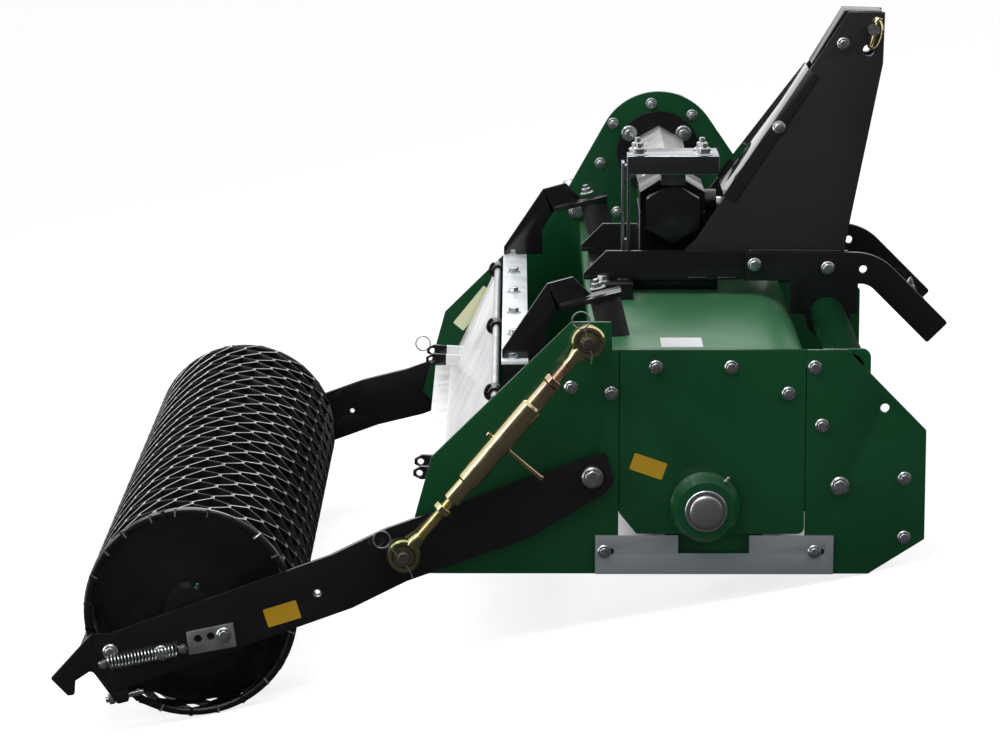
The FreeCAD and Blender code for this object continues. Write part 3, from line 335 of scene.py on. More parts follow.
# %% Metals
GALVANISED = zinc("galvanised_sheet", (0.46, 0.48, 0.50), (0.66, 0.68, 0.70))
BRIGHT_ZINC = zinc("bright_zinc_sheet", (0.30, 0.33, 0.38), (0.44, 0.47, 0.52), (0.12, 0.2), 14, 0.92)
DULL_ZINC = zinc("dull_zinc_sheet", (0.27, 0.305, 0.325), (0.31, 0.345, 0.365), (0.34, 0.44), 5, 0.5)
PALE_ZINC = zinc("pale_zinc_sheet", (0.68, 0.73, 0.77), (0.82, 0.87, 0.90), (0.26, 0.4), 26, 0.15)
WHITE_SHEET = zinc("white_rust_sheet", (0.74, 0.75, 0.76), (0.88, 0.88, 0.88), (0.3, 0.45), 22, 0.25)
PRESSED_ZINC = zinc("pressed_zinc", (0.46, 0.47, 0.49), (0.56, 0.57, 0.59), (0.26, 0.32), 7)
PLATED = zinc("plated_fasteners", (0.34, 0.36, 0.37), (0.54, 0.56, 0.57), (0.2, 0.32), 160)
CAST = zinc("cast_aluminium", (0.34, 0.34, 0.33), (0.52, 0.52, 0.51), (0.4, 0.55), 90)
MACHINED = zinc("machined_steel", (0.42, 0.42, 0.42), (0.60, 0.60, 0.60), (0.24, 0.32), 200)
STRAND_HIGHLIGHT = zinc("soil_polished_steel", (0.42, 0.43, 0.44), (0.72, 0.73, 0.74), (0.16, 0.3), 30, 0.85)
FORGED = zinc("forged_steel", (0.05, 0.045, 0.042), (0.12, 0.10, 0.09), (0.45, 0.62), 40, 0.7)
OLIVE, GOLD, BRASS, VIOLET = (0.38, 0.38, 0.17), (0.68, 0.60, 0.32), (0.78, 0.63, 0.38), (0.62, 0.42, 0.34)
PASSIVATED = [(0.30, OLIVE), (0.44, GOLD), (0.56, BRASS), (0.70, VIOLET)]
YELLOW_ZINC = finish_of("yellow_zinc", 0.97, PASSIVATED, (0.15, 0.26), 0.00001, (14, 3), (40, 4), (300, 2))
print("finishes:", len(bpy.data.materials))

# %% [markdown]
# ## Working habits
# The loaded frame leaves every node selected, and an operator acts on all that is selected. So each
# new piece starts from an empty selection. A finished piece must sit at the origin with its place in
# its mesh, so its transform is applied at the end. Edges that meet flatter than a piece's own limit,
# mostly thirty degrees, are shaded as one surface, and the others stay crisp.

# %% Helpers for selecting and shaping
def object_mode():
    """Leave edit mode."""
    if bpy.context.object and bpy.context.object.mode != "OBJECT":
        bpy.ops.object.mode_set(mode="OBJECT")


def nothing_selected():
    """Leave edit mode and deselect everything."""
    object_mode()
    bpy.ops.object.select_all(action="DESELECT")


def only(piece):
    """Select one object and make it the active one."""
    nothing_selected()
    piece.select_set(True)
    bpy.context.view_layer.objects.active = piece


def edit_all(piece):
    """Go to edit mode with the whole mesh selected."""
    only(piece)
    bpy.ops.object.mode_set(mode="EDIT")
    bpy.ops.mesh.select_all(action="SELECT")


def choose(piece, test, kind="FACE"):
    """Go to edit mode with only the faces or vertices selected that pass a test."""
    only(piece)
    bpy.ops.object.mode_set(mode="EDIT")
    bpy.ops.mesh.select_mode(type=kind)
    bpy.ops.mesh.select_all(action="DESELECT")
    object_mode()
    for part in piece.data.polygons if kind == "FACE" else piece.data.vertices:
        part.select = test(part)
    bpy.ops.object.mode_set(mode="EDIT")


def apply_place(piece):
    """Put a piece's place, turn and scale into its mesh."""
    only(piece)
    bpy.ops.object.transform_apply(location=True, rotation=True, scale=True)
    return piece


def modify(piece, kind, **settings):
    """Add a modifier, set it and apply it."""
    only(piece)
    modifier = piece.modifiers.new(kind.lower(), kind)
    for name, value in settings.items():
        setattr(modifier, name, value)
    bpy.ops.object.modifier_apply(modifier=modifier.name)


def bevel(piece, width, segments, angle, clamp=True):
    """Round the edges that are sharper than an angle."""
    modify(piece, "BEVEL", width=width, segments=segments, limit_method="ANGLE",
           angle_limit=math.radians(angle), use_clamp_overlap=clamp)


def soften(piece, width, segments):
    """Small bevel on the sharp edges of a piece at its true size."""
    bevel(apply_place(piece), width, segments, 40)
    return piece


def faces_out(piece):
    """Merge what coincides and turn every face outwards."""
    edit_all(piece)
    bpy.ops.mesh.remove_doubles(threshold=0.00002)
    bpy.ops.mesh.normals_make_consistent(inside=False)
    object_mode()
    return piece


def join(pieces):
    """Several objects become one, at the origin; a bare one takes the first finish that any of them has."""
    finishes = [piece.data.materials[0] for piece in pieces if piece.data.materials]
    for piece in pieces:
        apply_place(piece)
        if finishes and not piece.data.materials:
            piece.data.materials.append(finishes[0])
    nothing_selected()
    for piece in pieces:
        piece.select_set(True)
    bpy.context.view_layer.objects.active = pieces[0]
    if len(pieces) > 1:
        bpy.ops.object.join()
    return bpy.context.object


def pierce(piece, cutters):
    """Cut holes with rods, which go afterwards."""
    for cutter in cutters:
        apply_place(cutter)
        modify(piece, "BOOLEAN", operation="DIFFERENCE", object=cutter, solver="EXACT")
        bpy.data.objects.remove(cutter)


def two_finishes(piece, first, second, is_second):
    """Give a piece two finishes; the second goes on the faces that pass a test."""
    piece.data.materials.clear()
    for finish in (first, second):
        piece.data.materials.append(finish)
    for face in piece.data.polygons:
        face.material_index = 1 if is_second(face) else 0


def settle(piece, name, body, finish=PLATED, smooth=30):
    """Finished piece: place applied, shaded, painted and riding on its body; most small ones are plated."""
    apply_place(piece)
    piece.name = name
    bpy.ops.object.shade_smooth_by_angle(angle=math.radians(smooth))
    if not piece.data.materials:
        piece.data.materials.append(finish)
    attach(piece, body)
    return piece


# %% Helpers that make bars, wires and turned shapes
def fresh(add, **settings):
    """New object from an operator that adds one, with nothing else selected."""
    nothing_selected()
    add(**settings)
    return bpy.context.object


def rod(radius, depth, location=(0, 0, 0), rotation=(0, 0, 0), sides=24):
    """Round bar about its own middle, along Z before it is turned."""
    return fresh(bpy.ops.mesh.primitive_cylinder_add, vertices=sides, radius=radius, depth=depth,
                 location=location, rotation=rotation)


def hexagon(radius, height, middle, edge):
    """Hexagon bar along Z, from its corner radius, height and middle, with softened edges."""
    return soften(rod(radius, height, (0, 0, middle), sides=6), edge, 1)


def block(size, location):
    """Rectangular bar of a size, about its own middle."""
    piece = fresh(bpy.ops.mesh.primitive_cube_add, size=1, location=location)
    piece.scale = size
    return apply_place(piece)


def torus(ring_r, bar_r, place, ring_sides, bar_sides=8):
    """Round bar ring about the Z axis of a place."""
    piece = fresh(bpy.ops.mesh.primitive_torus_add, major_radius=ring_r, minor_radius=bar_r,
                  major_segments=ring_sides, minor_segments=bar_sides)
    piece.matrix_world = place
    return piece


def wire(points, radius, steps=6, sides=8):
    """Round bar bent through points: a smooth curve with closed ends, turned into a mesh."""
    piece = fresh(bpy.ops.curve.primitive_bezier_curve_add)
    line = piece.data.splines[0]
    line.bezier_points.add(len(points) - len(line.bezier_points))
    for knot, point in zip(line.bezier_points, points):
        knot.co = point
        knot.handle_left_type = knot.handle_right_type = "AUTO"
    line.resolution_u = steps
    piece.data.bevel_depth = radius
    piece.data.bevel_resolution = sides // 2 - 2
    piece.data.use_fill_caps = True
    only(piece)
    bpy.ops.object.convert(target="MESH")
    return bpy.context.object


def turned(profile, sides):
    """Turned piece along Z: a disc is extruded and scaled from one (radius, height) to the next."""
    radius, height = profile[0]
    piece = fresh(bpy.ops.mesh.primitive_circle_add, vertices=sides, radius=radius, fill_type="NGON",
                  location=(0, 0, height))
    edit_all(apply_place(piece))
    for next_radius, next_height in profile[1:]:
        bpy.ops.mesh.extrude_region_move(TRANSFORM_OT_translate={"value": (0, 0, next_height - height)})
        grow = next_radius / radius
        bpy.ops.transform.resize(value=(grow, grow, 1), center_override=(0, 0, next_height))
        radius, height = next_radius, next_height
    object_mode()
    return faces_out(piece)


def coil(coil_r, bar_r, pitch, turns, sides, steps):
    """Helix of round bar along Z from the origin, closed at both ends: a circle swept by a screw."""
    piece = apply_place(fresh(bpy.ops.mesh.primitive_circle_add, vertices=sides, radius=bar_r,
                              location=(coil_r, 0, 0), rotation=(math.pi / 2, 0, 0)))
    modify(piece, "SCREW", angle=2 * math.pi, screw_offset=pitch, iterations=turns, steps=steps,
           render_steps=steps)
    bpy.ops.object.mode_set(mode="EDIT")
    bpy.ops.mesh.select_mode(type="VERT")
    bpy.ops.mesh.select_all(action="DESELECT")
    bpy.ops.mesh.select_non_manifold()
    bpy.ops.mesh.fill_holes(sides=sides)
    object_mode()
    return faces_out(piece)


# %% Helpers for places and repeated things
RIGHT, LEFT, UP = (0, -1, 0), (0, 1, 0), (0, 0, 1)
SIDES = (-1, 1)                             # right and left
HANDS = tuple(zip(("right", "left"), SIDES))
SINK = 0.0002                               # a fastener stands this deep in its sheet


def at_level(x, y, z, towards=RIGHT, roll=0.0):
    """Place on the level machine with the local Z axis pointing in a direction."""
    aim = Vector(towards).to_track_quat("Z", "Y").to_matrix().to_4x4()
    return LEVEL @ Matrix.Translation((x, y, z)) @ aim @ Matrix.Rotation(roll, 4, "Z")


def turned_level(x, y, z, **turns):
    """Place on the level machine, turned by degrees about its own axes, in the order given."""
    place = LEVEL @ Matrix.Translation((x, y, z))
    for axis, degrees in turns.items():
        place = place @ Matrix.Rotation(math.radians(degrees), 4, axis)
    return place


def pair(x, y, z, towards=None):
    """The same place on the right and on the left side, facing outwards unless told otherwise."""
    return [(x, side * y, z, towards or (0, side, 0)) for side in SIDES]


def copy_of(model, place):
    """Copy of a model with a mesh of its own, at a place."""
    copy = model.copy()
    copy.data = model.data.copy()
    bpy.context.collection.objects.link(copy)
    copy.matrix_world = place
    return copy


def copies(model, places):
    """One joined object from a model repeated at matrices or at (x, y, z, towards); the model goes."""
    apply_place(model)
    made = [copy_of(model, place if isinstance(place, Matrix) else at_level(*place)) for place in places]
    nothing_selected()
    bpy.data.objects.remove(model)
    bpy.context.view_layer.update()
    return join(made)


def skin(names, x, z, side=-1):
    """Place on the outermost surface of some nodes, seen from a side at (x, z) of the level machine."""
    found = []
    for name in names.split():
        node = bpy.data.objects.get("skin_" + name) or nodes[name]
        inverse = node.matrix_world.inverted() @ LEVEL
        start = inverse @ Vector((x, side * 2, z))
        hit, place, normal, _ = node.ray_cast(start, inverse.to_3x3() @ Vector((0, -side, 0)))
        if hit:
            back = LEVEL.inverted() @ node.matrix_world
            found.append((back @ place, (back.to_3x3() @ normal).normalized()))
    place, normal = max(found, key=lambda spot_found: side * spot_found[0].y)
    return (*(place - normal * SINK), tuple(normal))


print("helpers ready")

# %% [markdown]
# ## Sheets with rounded edges
# Laser-cut plate has crisp edges, but paint gathers there and rounds them by about a millimetre. That
# edge is what a viewer sees first, because it catches the light as a thin bright line. The plates in
# the frame have knife edges, so each is copied, its loose triangles are merged into whole faces, and
# its edges get a small bevel. The copy then stands for the plate.

# %% Rounded copies of the plates
PAINT_EDGE = 0.0009
slot_of = {part["node"]: part["material_slot"] for part in frame["record"]["subparts"]}
body_of = {name: body for body, members in frame["record"]["behaviour"]["bodies"].items() for name in members}


def rounded(name, finish, width=PAINT_EDGE):
    """Copy of a node with rounded edges, standing for that node."""
    copy = copy_of(nodes[name], nodes[name].matrix_world)
    copy.data.materials.clear()
    edit_all(copy)
    bpy.ops.mesh.remove_doubles(threshold=0.00001)
    bpy.ops.mesh.customdata_custom_splitnormals_clear()
    bpy.ops.mesh.dissolve_limited(angle_limit=math.radians(0.5), delimit={"NORMAL"})
    object_mode()
    bevel(copy, width, 2, 30, clamp=False)
    settle(copy, "skin_" + name, body_of[name], finish)
    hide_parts(name)
    return copy


SHEETS = (
    (GREEN, "side_plate_right_rear side_plate_right_front bearing_panel_right side_plate_left drive_case"),
    (BLACK, "mast_head headstock_beams hitch_plates rear_rail roller_arms buffer_brackets drive_flange "
            "gearbox scraper"),
    # the hood takes the lighter green of painted light
    (GALVANISED, "spring_plates"), (LIT_GREEN, "hood"), (DULL_ZINC, "closing_plate"),
    (BRIGHT_ZINC, "gearbox_bracket"), (WET_GREEN, "front_tube"), (WET_BLACK, "mast_cover"),
    # the mast's sides take the lighter black of a painted reflection
    (PAINTED_SHEEN_BLACK, "mast_sides"), (PALE_ZINC, "sieve_clamp_strip"))
for finish, names in SHEETS:
    for name in names.split():
        rounded(name, finish)
rounded("drive_tube", CAST, width=0.004)
print("rounded", sum(len(names.split()) for _, names in SHEETS) + 1, "pieces")

# %% Black foot of the zinc tray
FOOT_BACK = -0.085
FOOT_TOP = 0.438


def on_foot(face):
    """True on the foot plate under the tray."""
    place = on_level(face.center)
    return place.x > FOOT_BACK and place.z < FOOT_TOP


tray = bpy.data.objects["skin_gearbox_bracket"]
# The foot takes the lighter black of a painted reflection.
two_finishes(tray, BRIGHT_ZINC, PAINTED_SHEEN_BLACK, on_foot)
print("tray", sum(face.material_index for face in tray.data.polygons), "black faces")

# %% [markdown]
# ## Expanded mesh of the roller
# Expanded metal is made by slitting a plate and pulling it open. Its strands stand on edge, meet in short
# double-width bonds, and all lean the same way. One strand chain is a zigzag: a bond, a long strand across to the
# next row, a bond and a short strand back. Here one period of that chain is extruded flat, repeated along the drum
# and round it by arrays, cut square at both ends, and rolled up by a bend. That is also how the real drum is made.
# A round bar ring closes each end. The outer faces of the long strands are bright bare steel: a painted highlight
# for the glint on their gloss black edges.

# %% One period of a strand
drum_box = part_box("roller_drum")
DRUM_HALF = drum_box[1].y
DRUM_R = (drum_box[1].z - drum_box[0].z) / 2
MESH_DEPTH = 0.0125
MESH_ROWS = 36                              # strand chains round the drum
MESH_PERIODS = 17                           # diamonds along the drum
MESH_DRIFT = 23                             # whole periods that the rows drift in one turn
STRAND = 0.0026
BOND = 0.017
LEAN = 0.0016
NEAR = 0.0001                               # how near to an end a face has to lie to be that end
inner_r = DRUM_R - MESH_DEPTH
row = 2 * math.pi * inner_r / MESH_ROWS     # width of one chain
period = 2 * DRUM_HALF / MESH_PERIODS
there = period * MESH_DRIFT / MESH_ROWS
back = period - there


def top_of(piece):
    """Height of a mesh's highest point."""
    return max(vertex.co.z for vertex in piece.data.vertices)


drum = block((STRAND, MESH_DEPTH, BOND), (STRAND / 2, -MESH_DEPTH / 2, BOND / 2))
for across, along in ((row - STRAND, there - BOND), (0, BOND), (STRAND - row, back - BOND)):
    top = top_of(drum)
    choose(drum, lambda face: face.normal.z > 0.5 and face.center.z > top - NEAR)
    bpy.ops.mesh.extrude_region_move(TRANSFORM_OT_translate={"value": (across, 0, along)})
    object_mode()
top = top_of(drum)
choose(drum, lambda face: abs(face.normal.z) > 0.9 and abs(face.center.z - top / 2) > top / 2 - NEAR)
bpy.ops.mesh.delete(type="ONLY_FACE")
choose(drum, lambda vertex: vertex.co.y < -MESH_DEPTH / 2, "VERT")
bpy.ops.transform.translate(value=(LEAN, 0, 0))
object_mode()
# The outer faces of the long strands get bright steel: a painted highlight.
two_finishes(drum, BLACK, STRAND_HIGHLIGHT, lambda face: face.normal.y < -0.9 and BOND / 2 < face.center.z < there)
print("strand period", round(period, 4), "m, row", round(row, 4), "m,", len(drum.data.polygons), "faces")

# %% Repeat, cut and roll the mesh
drift = 2 * there - period                  # what two rows drift
start = MESH_ROWS // 2 * drift + there      # from here on every chain is present
end = start + 2 * DRUM_HALF


def repeat(piece, count, step, **settings):
    """Row of copies, one step apart."""
    modify(piece, "ARRAY", count=count, use_relative_offset=False, use_constant_offset=True,
           constant_offset_displace=step, **settings)


bevel(drum, 0.0004, 1, 60)
repeat(drum, math.ceil(end / period), (0, 0, period), use_merge_vertices=True, merge_threshold=0.00005)
repeat(drum, 2, (row, 0, there))
repeat(drum, MESH_ROWS // 2, (2 * row, 0, drift))
only(drum)
bpy.ops.object.mode_set(mode="EDIT")
for height, low_side in ((start, True), (end, False)):
    bpy.ops.mesh.select_all(action="SELECT")
    bpy.ops.mesh.bisect(plane_co=(0, 0, height), plane_no=(0, 0, 1), use_fill=True, clear_inner=low_side,
                        clear_outer=not low_side)
object_mode()
whole_turn = 2 * math.pi * (1 + LEAN / (MESH_ROWS * row))
modify(drum, "SIMPLE_DEFORM", deform_method="BEND", deform_axis="Z", angle=whole_turn)
drum.data.transform(Matrix.Translation((0, -inner_r, -start - DRUM_HALF)))
drum_place = turned_level(ROLLER[0], 0, ROLLER[1], X=-90)
drum.matrix_world = drum_place
faces_out(apply_place(drum))
print("rolled mesh", [round(side, 3) for side in drum.dimensions])

# %% Round bar rings at the drum's ends
RING_BAR = 0.006
ring = torus(DRUM_R - RING_BAR, RING_BAR, Matrix.Identity(4), 96, 12)
ring.data.materials.append(BLACK)
end_places = [Matrix.Translation((0, 0, way * (DRUM_HALF - RING_BAR))) for way in (-1, 1)]
drum = join([drum, copies(ring, [drum_place @ place for place in end_places])])
settle(drum, "roller_mesh", "roller", BLACK, smooth=25)
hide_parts("roller_drum")
print("mesh drum", len(drum.data.polygons), "faces")

# %% [markdown]
# ## Fasteners
# Thin-walled machines are bolted together with flanged hex bolts: the wide flange spares a washer.
# The head is six-sided with a turned top, so its corners are cut by a shallow cone, and it stands on a
# round collar. One bolt is modelled and copied to every place, with its hex turned a little each time,
# because nobody lines them up. A ray from the side finds the sheet that a bolt stands on.

# %% A flanged hex bolt
HEX_TURN = 0.7                              # each hex is turned this much further than the last


def hex_head(across, height, collar, stud=0.0):
    """Hex head with a turned top on a round collar, and the end of a stud if asked."""
    corner = across / math.sqrt(3)
    head = hexagon(corner, height, height / 2, height * 0.08)
    choose(head, lambda face: face.normal.z > 0.9)
    bpy.ops.mesh.inset(thickness=corner * 0.16)
    bpy.ops.transform.translate(value=(0, 0, height * 0.07))
    object_mode()
    pieces = [head, turned([(collar, 0), (collar, height * 0.1), (collar * 0.84, height * 0.28)], 20)]
    if stud:
        pieces.append(soften(rod(stud, height * 1.7, (0, 0, height * 0.85), sides=16), stud * 0.2, 1))
    return join(pieces)


def bolts(name, places, size=(0.013, 0.0075, 0.0105), body="frame"):
    """Bolts at (x, y, z, towards); their size is across flats, height, collar radius and stud radius."""
    turned_places = [(*place, HEX_TURN * number) for number, place in enumerate(places)]
    piece = settle(copies(hex_head(*size), turned_places), name, body)
    print(name, len(places), "heads", len(piece.data.polygons), "faces")


# %% Bolts of the sheets
RIGHT_PLATES = "bearing_panel_right side_plate_right_rear side_plate_right_front"
panel_bolts = [(-0.077, 0.218), (0.038, 0.218), (0.126, 0.177), (-0.145, 0.177)]
plate_bolts = [(-0.207, 0.186), (0.166, 0.218), (0.178, 0.127), (0.306, 0.044), (0.307, -0.049)]
places = [skin(RIGHT_PLATES, x, z) for x, z in panel_bolts + plate_bolts]
places += [skin("side_plate_left", x, z, 1) for x, z in plate_bolts if abs(x - 0.17) > 0.03]
bolts("side_plate_bolts", places)
closing_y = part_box("closing_plate")[0].y + SINK
bolts("closing_plate_bolts", [(x, closing_y, -0.071, RIGHT) for x in (-0.155, 0.169)])
bolts("front_tube_bolts", [skin(RIGHT_PLATES, 0.207, 0.032), skin("side_plate_left", 0.207, 0.032, 1)],
      (0.019, 0.010, 0.0145))
bolts("mast_bolts", [skin("mast_cover mast_sides", x, z, side)
                     for x, z in ((0.141, 0.513), (0.248, 0.646)) for side in SIDES])
bolts("hitch_bolts", [skin("hitch_plates", x, z, side)
                      for x, z in ((0.099, 0.297), (0.219, 0.2915)) for side in SIDES],
      (0.0155, 0.010, 0.0112))
bolts("rail_bolts", pair(-0.150, 0.160, level_box("rear_rail")[1].z - SINK, UP), (0.016, 0.010, 0.013))

# %% Bolts of the drive
CASE = (-0.033, 0.373)                      # gearbox axis on the level machine
RIM_R = 0.098                               # bolt circle round each end of the drive case
RIM_Y = SIDE + 0.012
rim_places = []
for centre, angles in (((0, 0), (180, 220, 260, 300, 340, 0)), (CASE, (5, 40, 75, 105, 140, 180))):
    for turn in map(math.radians, angles):
        rim_places.append((centre[0] + RIM_R * math.cos(turn), centre[1] + RIM_R * math.sin(turn)))
for share in (0.34, 0.66):
    rim_places += [(CASE[0] * share + side * RIM_R, CASE[1] * share) for side in SIDES]
bolts("drive_case_bolts", [(x, RIM_Y - SINK, z, LEFT) for x, z in rim_places], (0.010, 0.006, 0.0085))
plate_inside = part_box("side_plate_left")[0].y
nut_places = [(-0.046, 0.461), (0.028, 0.440), (-0.115, 0.425), (-0.138, 0.352), (-0.107, 0.262)]
bolts("drive_case_nuts", [(x, plate_inside + SINK, z, RIGHT) for x, z in nut_places],
      (0.013, 0.0075, 0.0105, 0.004))
flange_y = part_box("drive_flange")[0].y + SINK
bolts("drive_flange_bolts", [(x, flange_y, z, RIGHT) for z in (0.408, 0.338) for x in (-0.086, 0.012)],
      (0.016, 0.010, 0.0145))
tray_top = level_box("gearbox_bracket")[1].z - SINK
bolts("tray_bolts", [(x, y, tray_top, UP) for x in (-0.090, 0.017) for y in (-0.103, -0.036)],
      (0.018, 0.012, 0.015, 0.005))

# %% Nuts of the sieve and the buffers
STRIP_X = -0.295
STRIP_PITCH = 0.196
TAB_UP = (-0.238, 0, 0.971)
strip_top = level_box("sieve_clamp_strip")[1].z - SINK
bolts("sieve_clamp_bolts", [(STRIP_X, (number - 2.5) * STRIP_PITCH, strip_top, UP) for number in range(6)],
      (0.015, 0.009, 0.012))
bolts("buffer_nuts", pair(-0.164, 0.490, 0.3165, TAB_UP), (0.016, 0.009, 0.013, 0.005))

# %% [markdown]
# ## Turnbuckles
# A turnbuckle sets the working depth: its barrel has a left-hand and a right-hand thread and is turned
# by a tommy bar, while lock nuts keep it. All of it is yellow passivated zinc, but for the forged
# steel in its eyes. Barrel and rod are turned shapes, so each is made as a disc extruded and scaled
# along the link's own axis, and the threads are coils of three-sided bar on a thinner core.

# %% Axis and distances of the link
EYE_R = 0.026
EYE_WIDTH = 0.018
ROD_R = 0.009
BARREL_R = 0.0178
COLLAR_R = 0.0138
rod_low = level_box("turnbuckle_rod_right")[0]
barrel_low, barrel_high = level_box("turnbuckle_barrel_right")
link_y = -(barrel_low.y + barrel_high.y) / 2
pin_end_y = -rod_low.y
link_top = Vector((LINK_TOP[0], 0, LINK_TOP[1]))
link_foot = Vector((rod_low.x + EYE_R, 0, rod_low.z + EYE_R))
link_aim = (link_foot - link_top).normalized()
link_length = (link_foot - link_top).length
link_places = {side: at_level(link_top.x, side * link_y, link_top.z, link_aim) for side in SIDES}
print("link length", round(link_length, 4), "at y", round(link_y, 4))

# %% Threads and eyes
THREAD_PITCH = 0.002
THREAD_DEPTH = 0.0008
EYE_RINGS = [(1.0, 0.55), (0.90, 0.92), (0.74, 1.0), (0.70, 0.84), (0.60, 0.80), (0.56, 1.0), (0.44, 1.0),
             (0.40, 0.9)]                   # shares of the eye's radius and half width


def thread(start, end):
    """Bar with a coarse thread between two distances."""
    core_r = ROD_R - THREAD_DEPTH
    core = rod(core_r, end - start, (0, 0, (start + end) / 2), sides=16)
    ridge = coil(core_r, THREAD_DEPTH, THREAD_PITCH, round((end - start) / THREAD_PITCH) - 1, 3, 12)
    ridge.location = (0, 0, start + THREAD_PITCH / 2)
    return [core, ridge]


def eye(distance):
    """Forged eye across the link: stepped rings on both faces, as a ball bush has."""
    rings = [(radius * EYE_R, height * EYE_WIDTH / 2) for radius, height in EYE_RINGS]
    piece = turned([(radius, -height) for radius, height in reversed(rings)] + rings, 36)

    def is_steel(face):
        share = math.hypot(face.center.x, face.center.y) / EYE_R
        return 0.59 < share < 0.73 or share < 0.38

    two_finishes(piece, YELLOW_ZINC, FORGED, is_steel)
    piece.rotation_euler = (0, math.pi / 2, 0)
    piece.location = (0, 0, distance)
    return piece


print("eye of", len(EYE_RINGS), "rings")

# %% Barrels
NUT_R = 0.0158
BARREL_PROFILE = [
    (0.0105, 0.087), (COLLAR_R, 0.0885), (COLLAR_R, 0.128), (BARREL_R - 0.001, 0.131), (BARREL_R, 0.1325),
    (BARREL_R, 0.283), (BARREL_R - 0.001, 0.285), (COLLAR_R, 0.288), (COLLAR_R, 0.3225), (0.0105, 0.324)]
TOMMY_PROFILE = [(0.0034, -0.026), (0.004, -0.0252), (0.004, 0.078), (0.0046, 0.0795), (0.0046, 0.083),
                 (0.0036, 0.0845)]
pieces = [eye(0), turned([(0.012, 0.018), (0.0125, 0.026), (ROD_R, 0.038), (ROD_R, 0.050)], 20)]
pieces += thread(0.048, 0.092)
pieces.append(turned(BARREL_PROFILE, 28))
pieces += [hexagon(NUT_R, 0.010, middle, 0.0008) for middle in (0.081, 0.342)]
tommy = turned(TOMMY_PROFILE, 16)
tommy.rotation_euler = (math.pi / 2, 0, 0)
tommy.location = (0, 0, 0.208)
model = join(pieces + [tommy])
for hand, side in HANDS:
    barrel = copy_of(model, link_places[side])
    settle(barrel, "link_barrel_" + hand, "turnbuckle_" + hand, YELLOW_ZINC)
    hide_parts("turnbuckle_barrel_" + hand)
bpy.data.objects.remove(model)
print("barrels", len(barrel.data.polygons), "faces each")

# %% Threaded rods
PIN_R = 0.0095
neck = link_length - EYE_R
pin_length = pin_end_y - (link_y - EYE_WIDTH / 2) + 0.010
model = join([eye(link_length)] + thread(0.2615, neck - 0.012)
             + [turned([(ROD_R, neck - 0.014), (0.0125, neck), (0.0115, neck + 0.008)], 20)])
pin = turned([(PIN_R - 0.001, 0), (PIN_R, 0.001), (PIN_R, pin_length - 0.0015),
              (PIN_R - 0.0015, pin_length)], 24)
pin.data.materials.append(FORGED)
for hand, side in HANDS:
    inner_end = at_level(link_foot.x, side * (pin_end_y - pin_length), link_foot.z, (0, side, 0))
    link_rod = join([copy_of(model, link_places[side]), copy_of(pin, inner_end)])
    settle(link_rod, "link_rod_" + hand, "turnbuckle_rod_" + hand, YELLOW_ZINC)
    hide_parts("turnbuckle_rod_" + hand)
for used in (model, pin):
    bpy.data.objects.remove(used)
print("rods", len(link_rod.data.polygons), "faces each")

# %% [markdown]
# The upper eye turns on a pin that goes through an ear of the side plate: its end shows outside, and
# its nut sits inside. Every pin end is held by a spring linch clip, a wire ring with a straight leg.

# %% Pin ends in the ears
pin_end = turned([(PIN_R + 0.0004, 0), (PIN_R + 0.0004, 0.0045), (PIN_R - 0.0012, 0.0062)], 24)
pin_ends = copies(pin_end, pair(link_top.x, pin_end_y - 0.005, link_top.z))
settle(pin_ends, "link_pin_ends", "frame", FORGED)
ear_inside = -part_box("side_plate_right_rear")[1].y - SINK
bolts("link_pin_nuts", [(link_top.x, side * ear_inside, link_top.z, (0, -side, 0)) for side in SIDES],
      (0.021, 0.009, 0.0145))

# %% Linch clips
CLIP_R = 0.0132
CLIP_BAR = 0.0012
CLIP_Y = pin_end_y - 0.006
TOP_CLIP = ("frame", -0.193, 0.300, 72, 0.056)


def linch_clip(reach):
    """Spring clip: a wire ring with a straight leg that goes through a pin."""
    ring = torus(CLIP_R, CLIP_BAR, Matrix.Identity(4), 28)
    leg = wire([(CLIP_R, 0, 0), (CLIP_R + reach * 0.15, 0.001, 0), (CLIP_R + reach * 0.5, 0, 0),
                (CLIP_R + reach * 0.8, -0.001, 0), (CLIP_R + reach, -0.006, 0)], CLIP_BAR * 1.15)
    return join([ring, leg])


for (hand, side), foot_clip in zip(HANDS, ((-0.496, -0.041, 48), (-0.436, -0.108, -132))):
    for name, (body, x, z, angle, reach) in (
            ("foot_clip_", ("turnbuckle_rod_" + hand, *foot_clip, 0.064)), ("top_clip_", TOP_CLIP)):
        clip = linch_clip(reach)
        clip.matrix_world = turned_level(x, side * CLIP_Y, z, Y=angle, X=90)
        settle(clip, name + hand, body, smooth=40)
print("linch clips on four pins")

# %% [markdown]
# ## Scraper springs
# Two extension springs pull the scraper blade against the roller. Such a spring is close-wound from
# thick wire, opened a little by its preload, and ends in a full loop at each end. Both loops hang on
# pegs: one at the arm's tip, the other on a small galvanised plate.

# %% One spring
SPRING_R = 0.0108
SPRING_WIRE = 0.0013
SPRING_TURNS = 20
LOOP_R = 0.0058
LOOP_RISE = 0.0095                          # last turn to the middle of the end loop
LEAD = 0.012                                # from an end to the first turn
PEG_PROFILE = [(0.0052, -0.014), (0.0052, -0.010), (0.0034, -0.0095), (0.0034, 0.002), (0.0042, 0.0024),
               (0.0042, 0.0036), (0.0034, 0.0042)]
spring_start = Vector((-0.926, 0, -0.232))
spring_pull = Vector((-0.799, 0, -0.207)) - spring_start
length = spring_pull.length
coil_r = SPRING_R - SPRING_WIRE
local_x = (LEVEL.inverted() @ at_level(0, 0, 0, spring_pull)).to_3x3().col[0]
peg_turn = math.copysign(math.pi / 2, -local_x.y)     # the pegs' heads look outwards

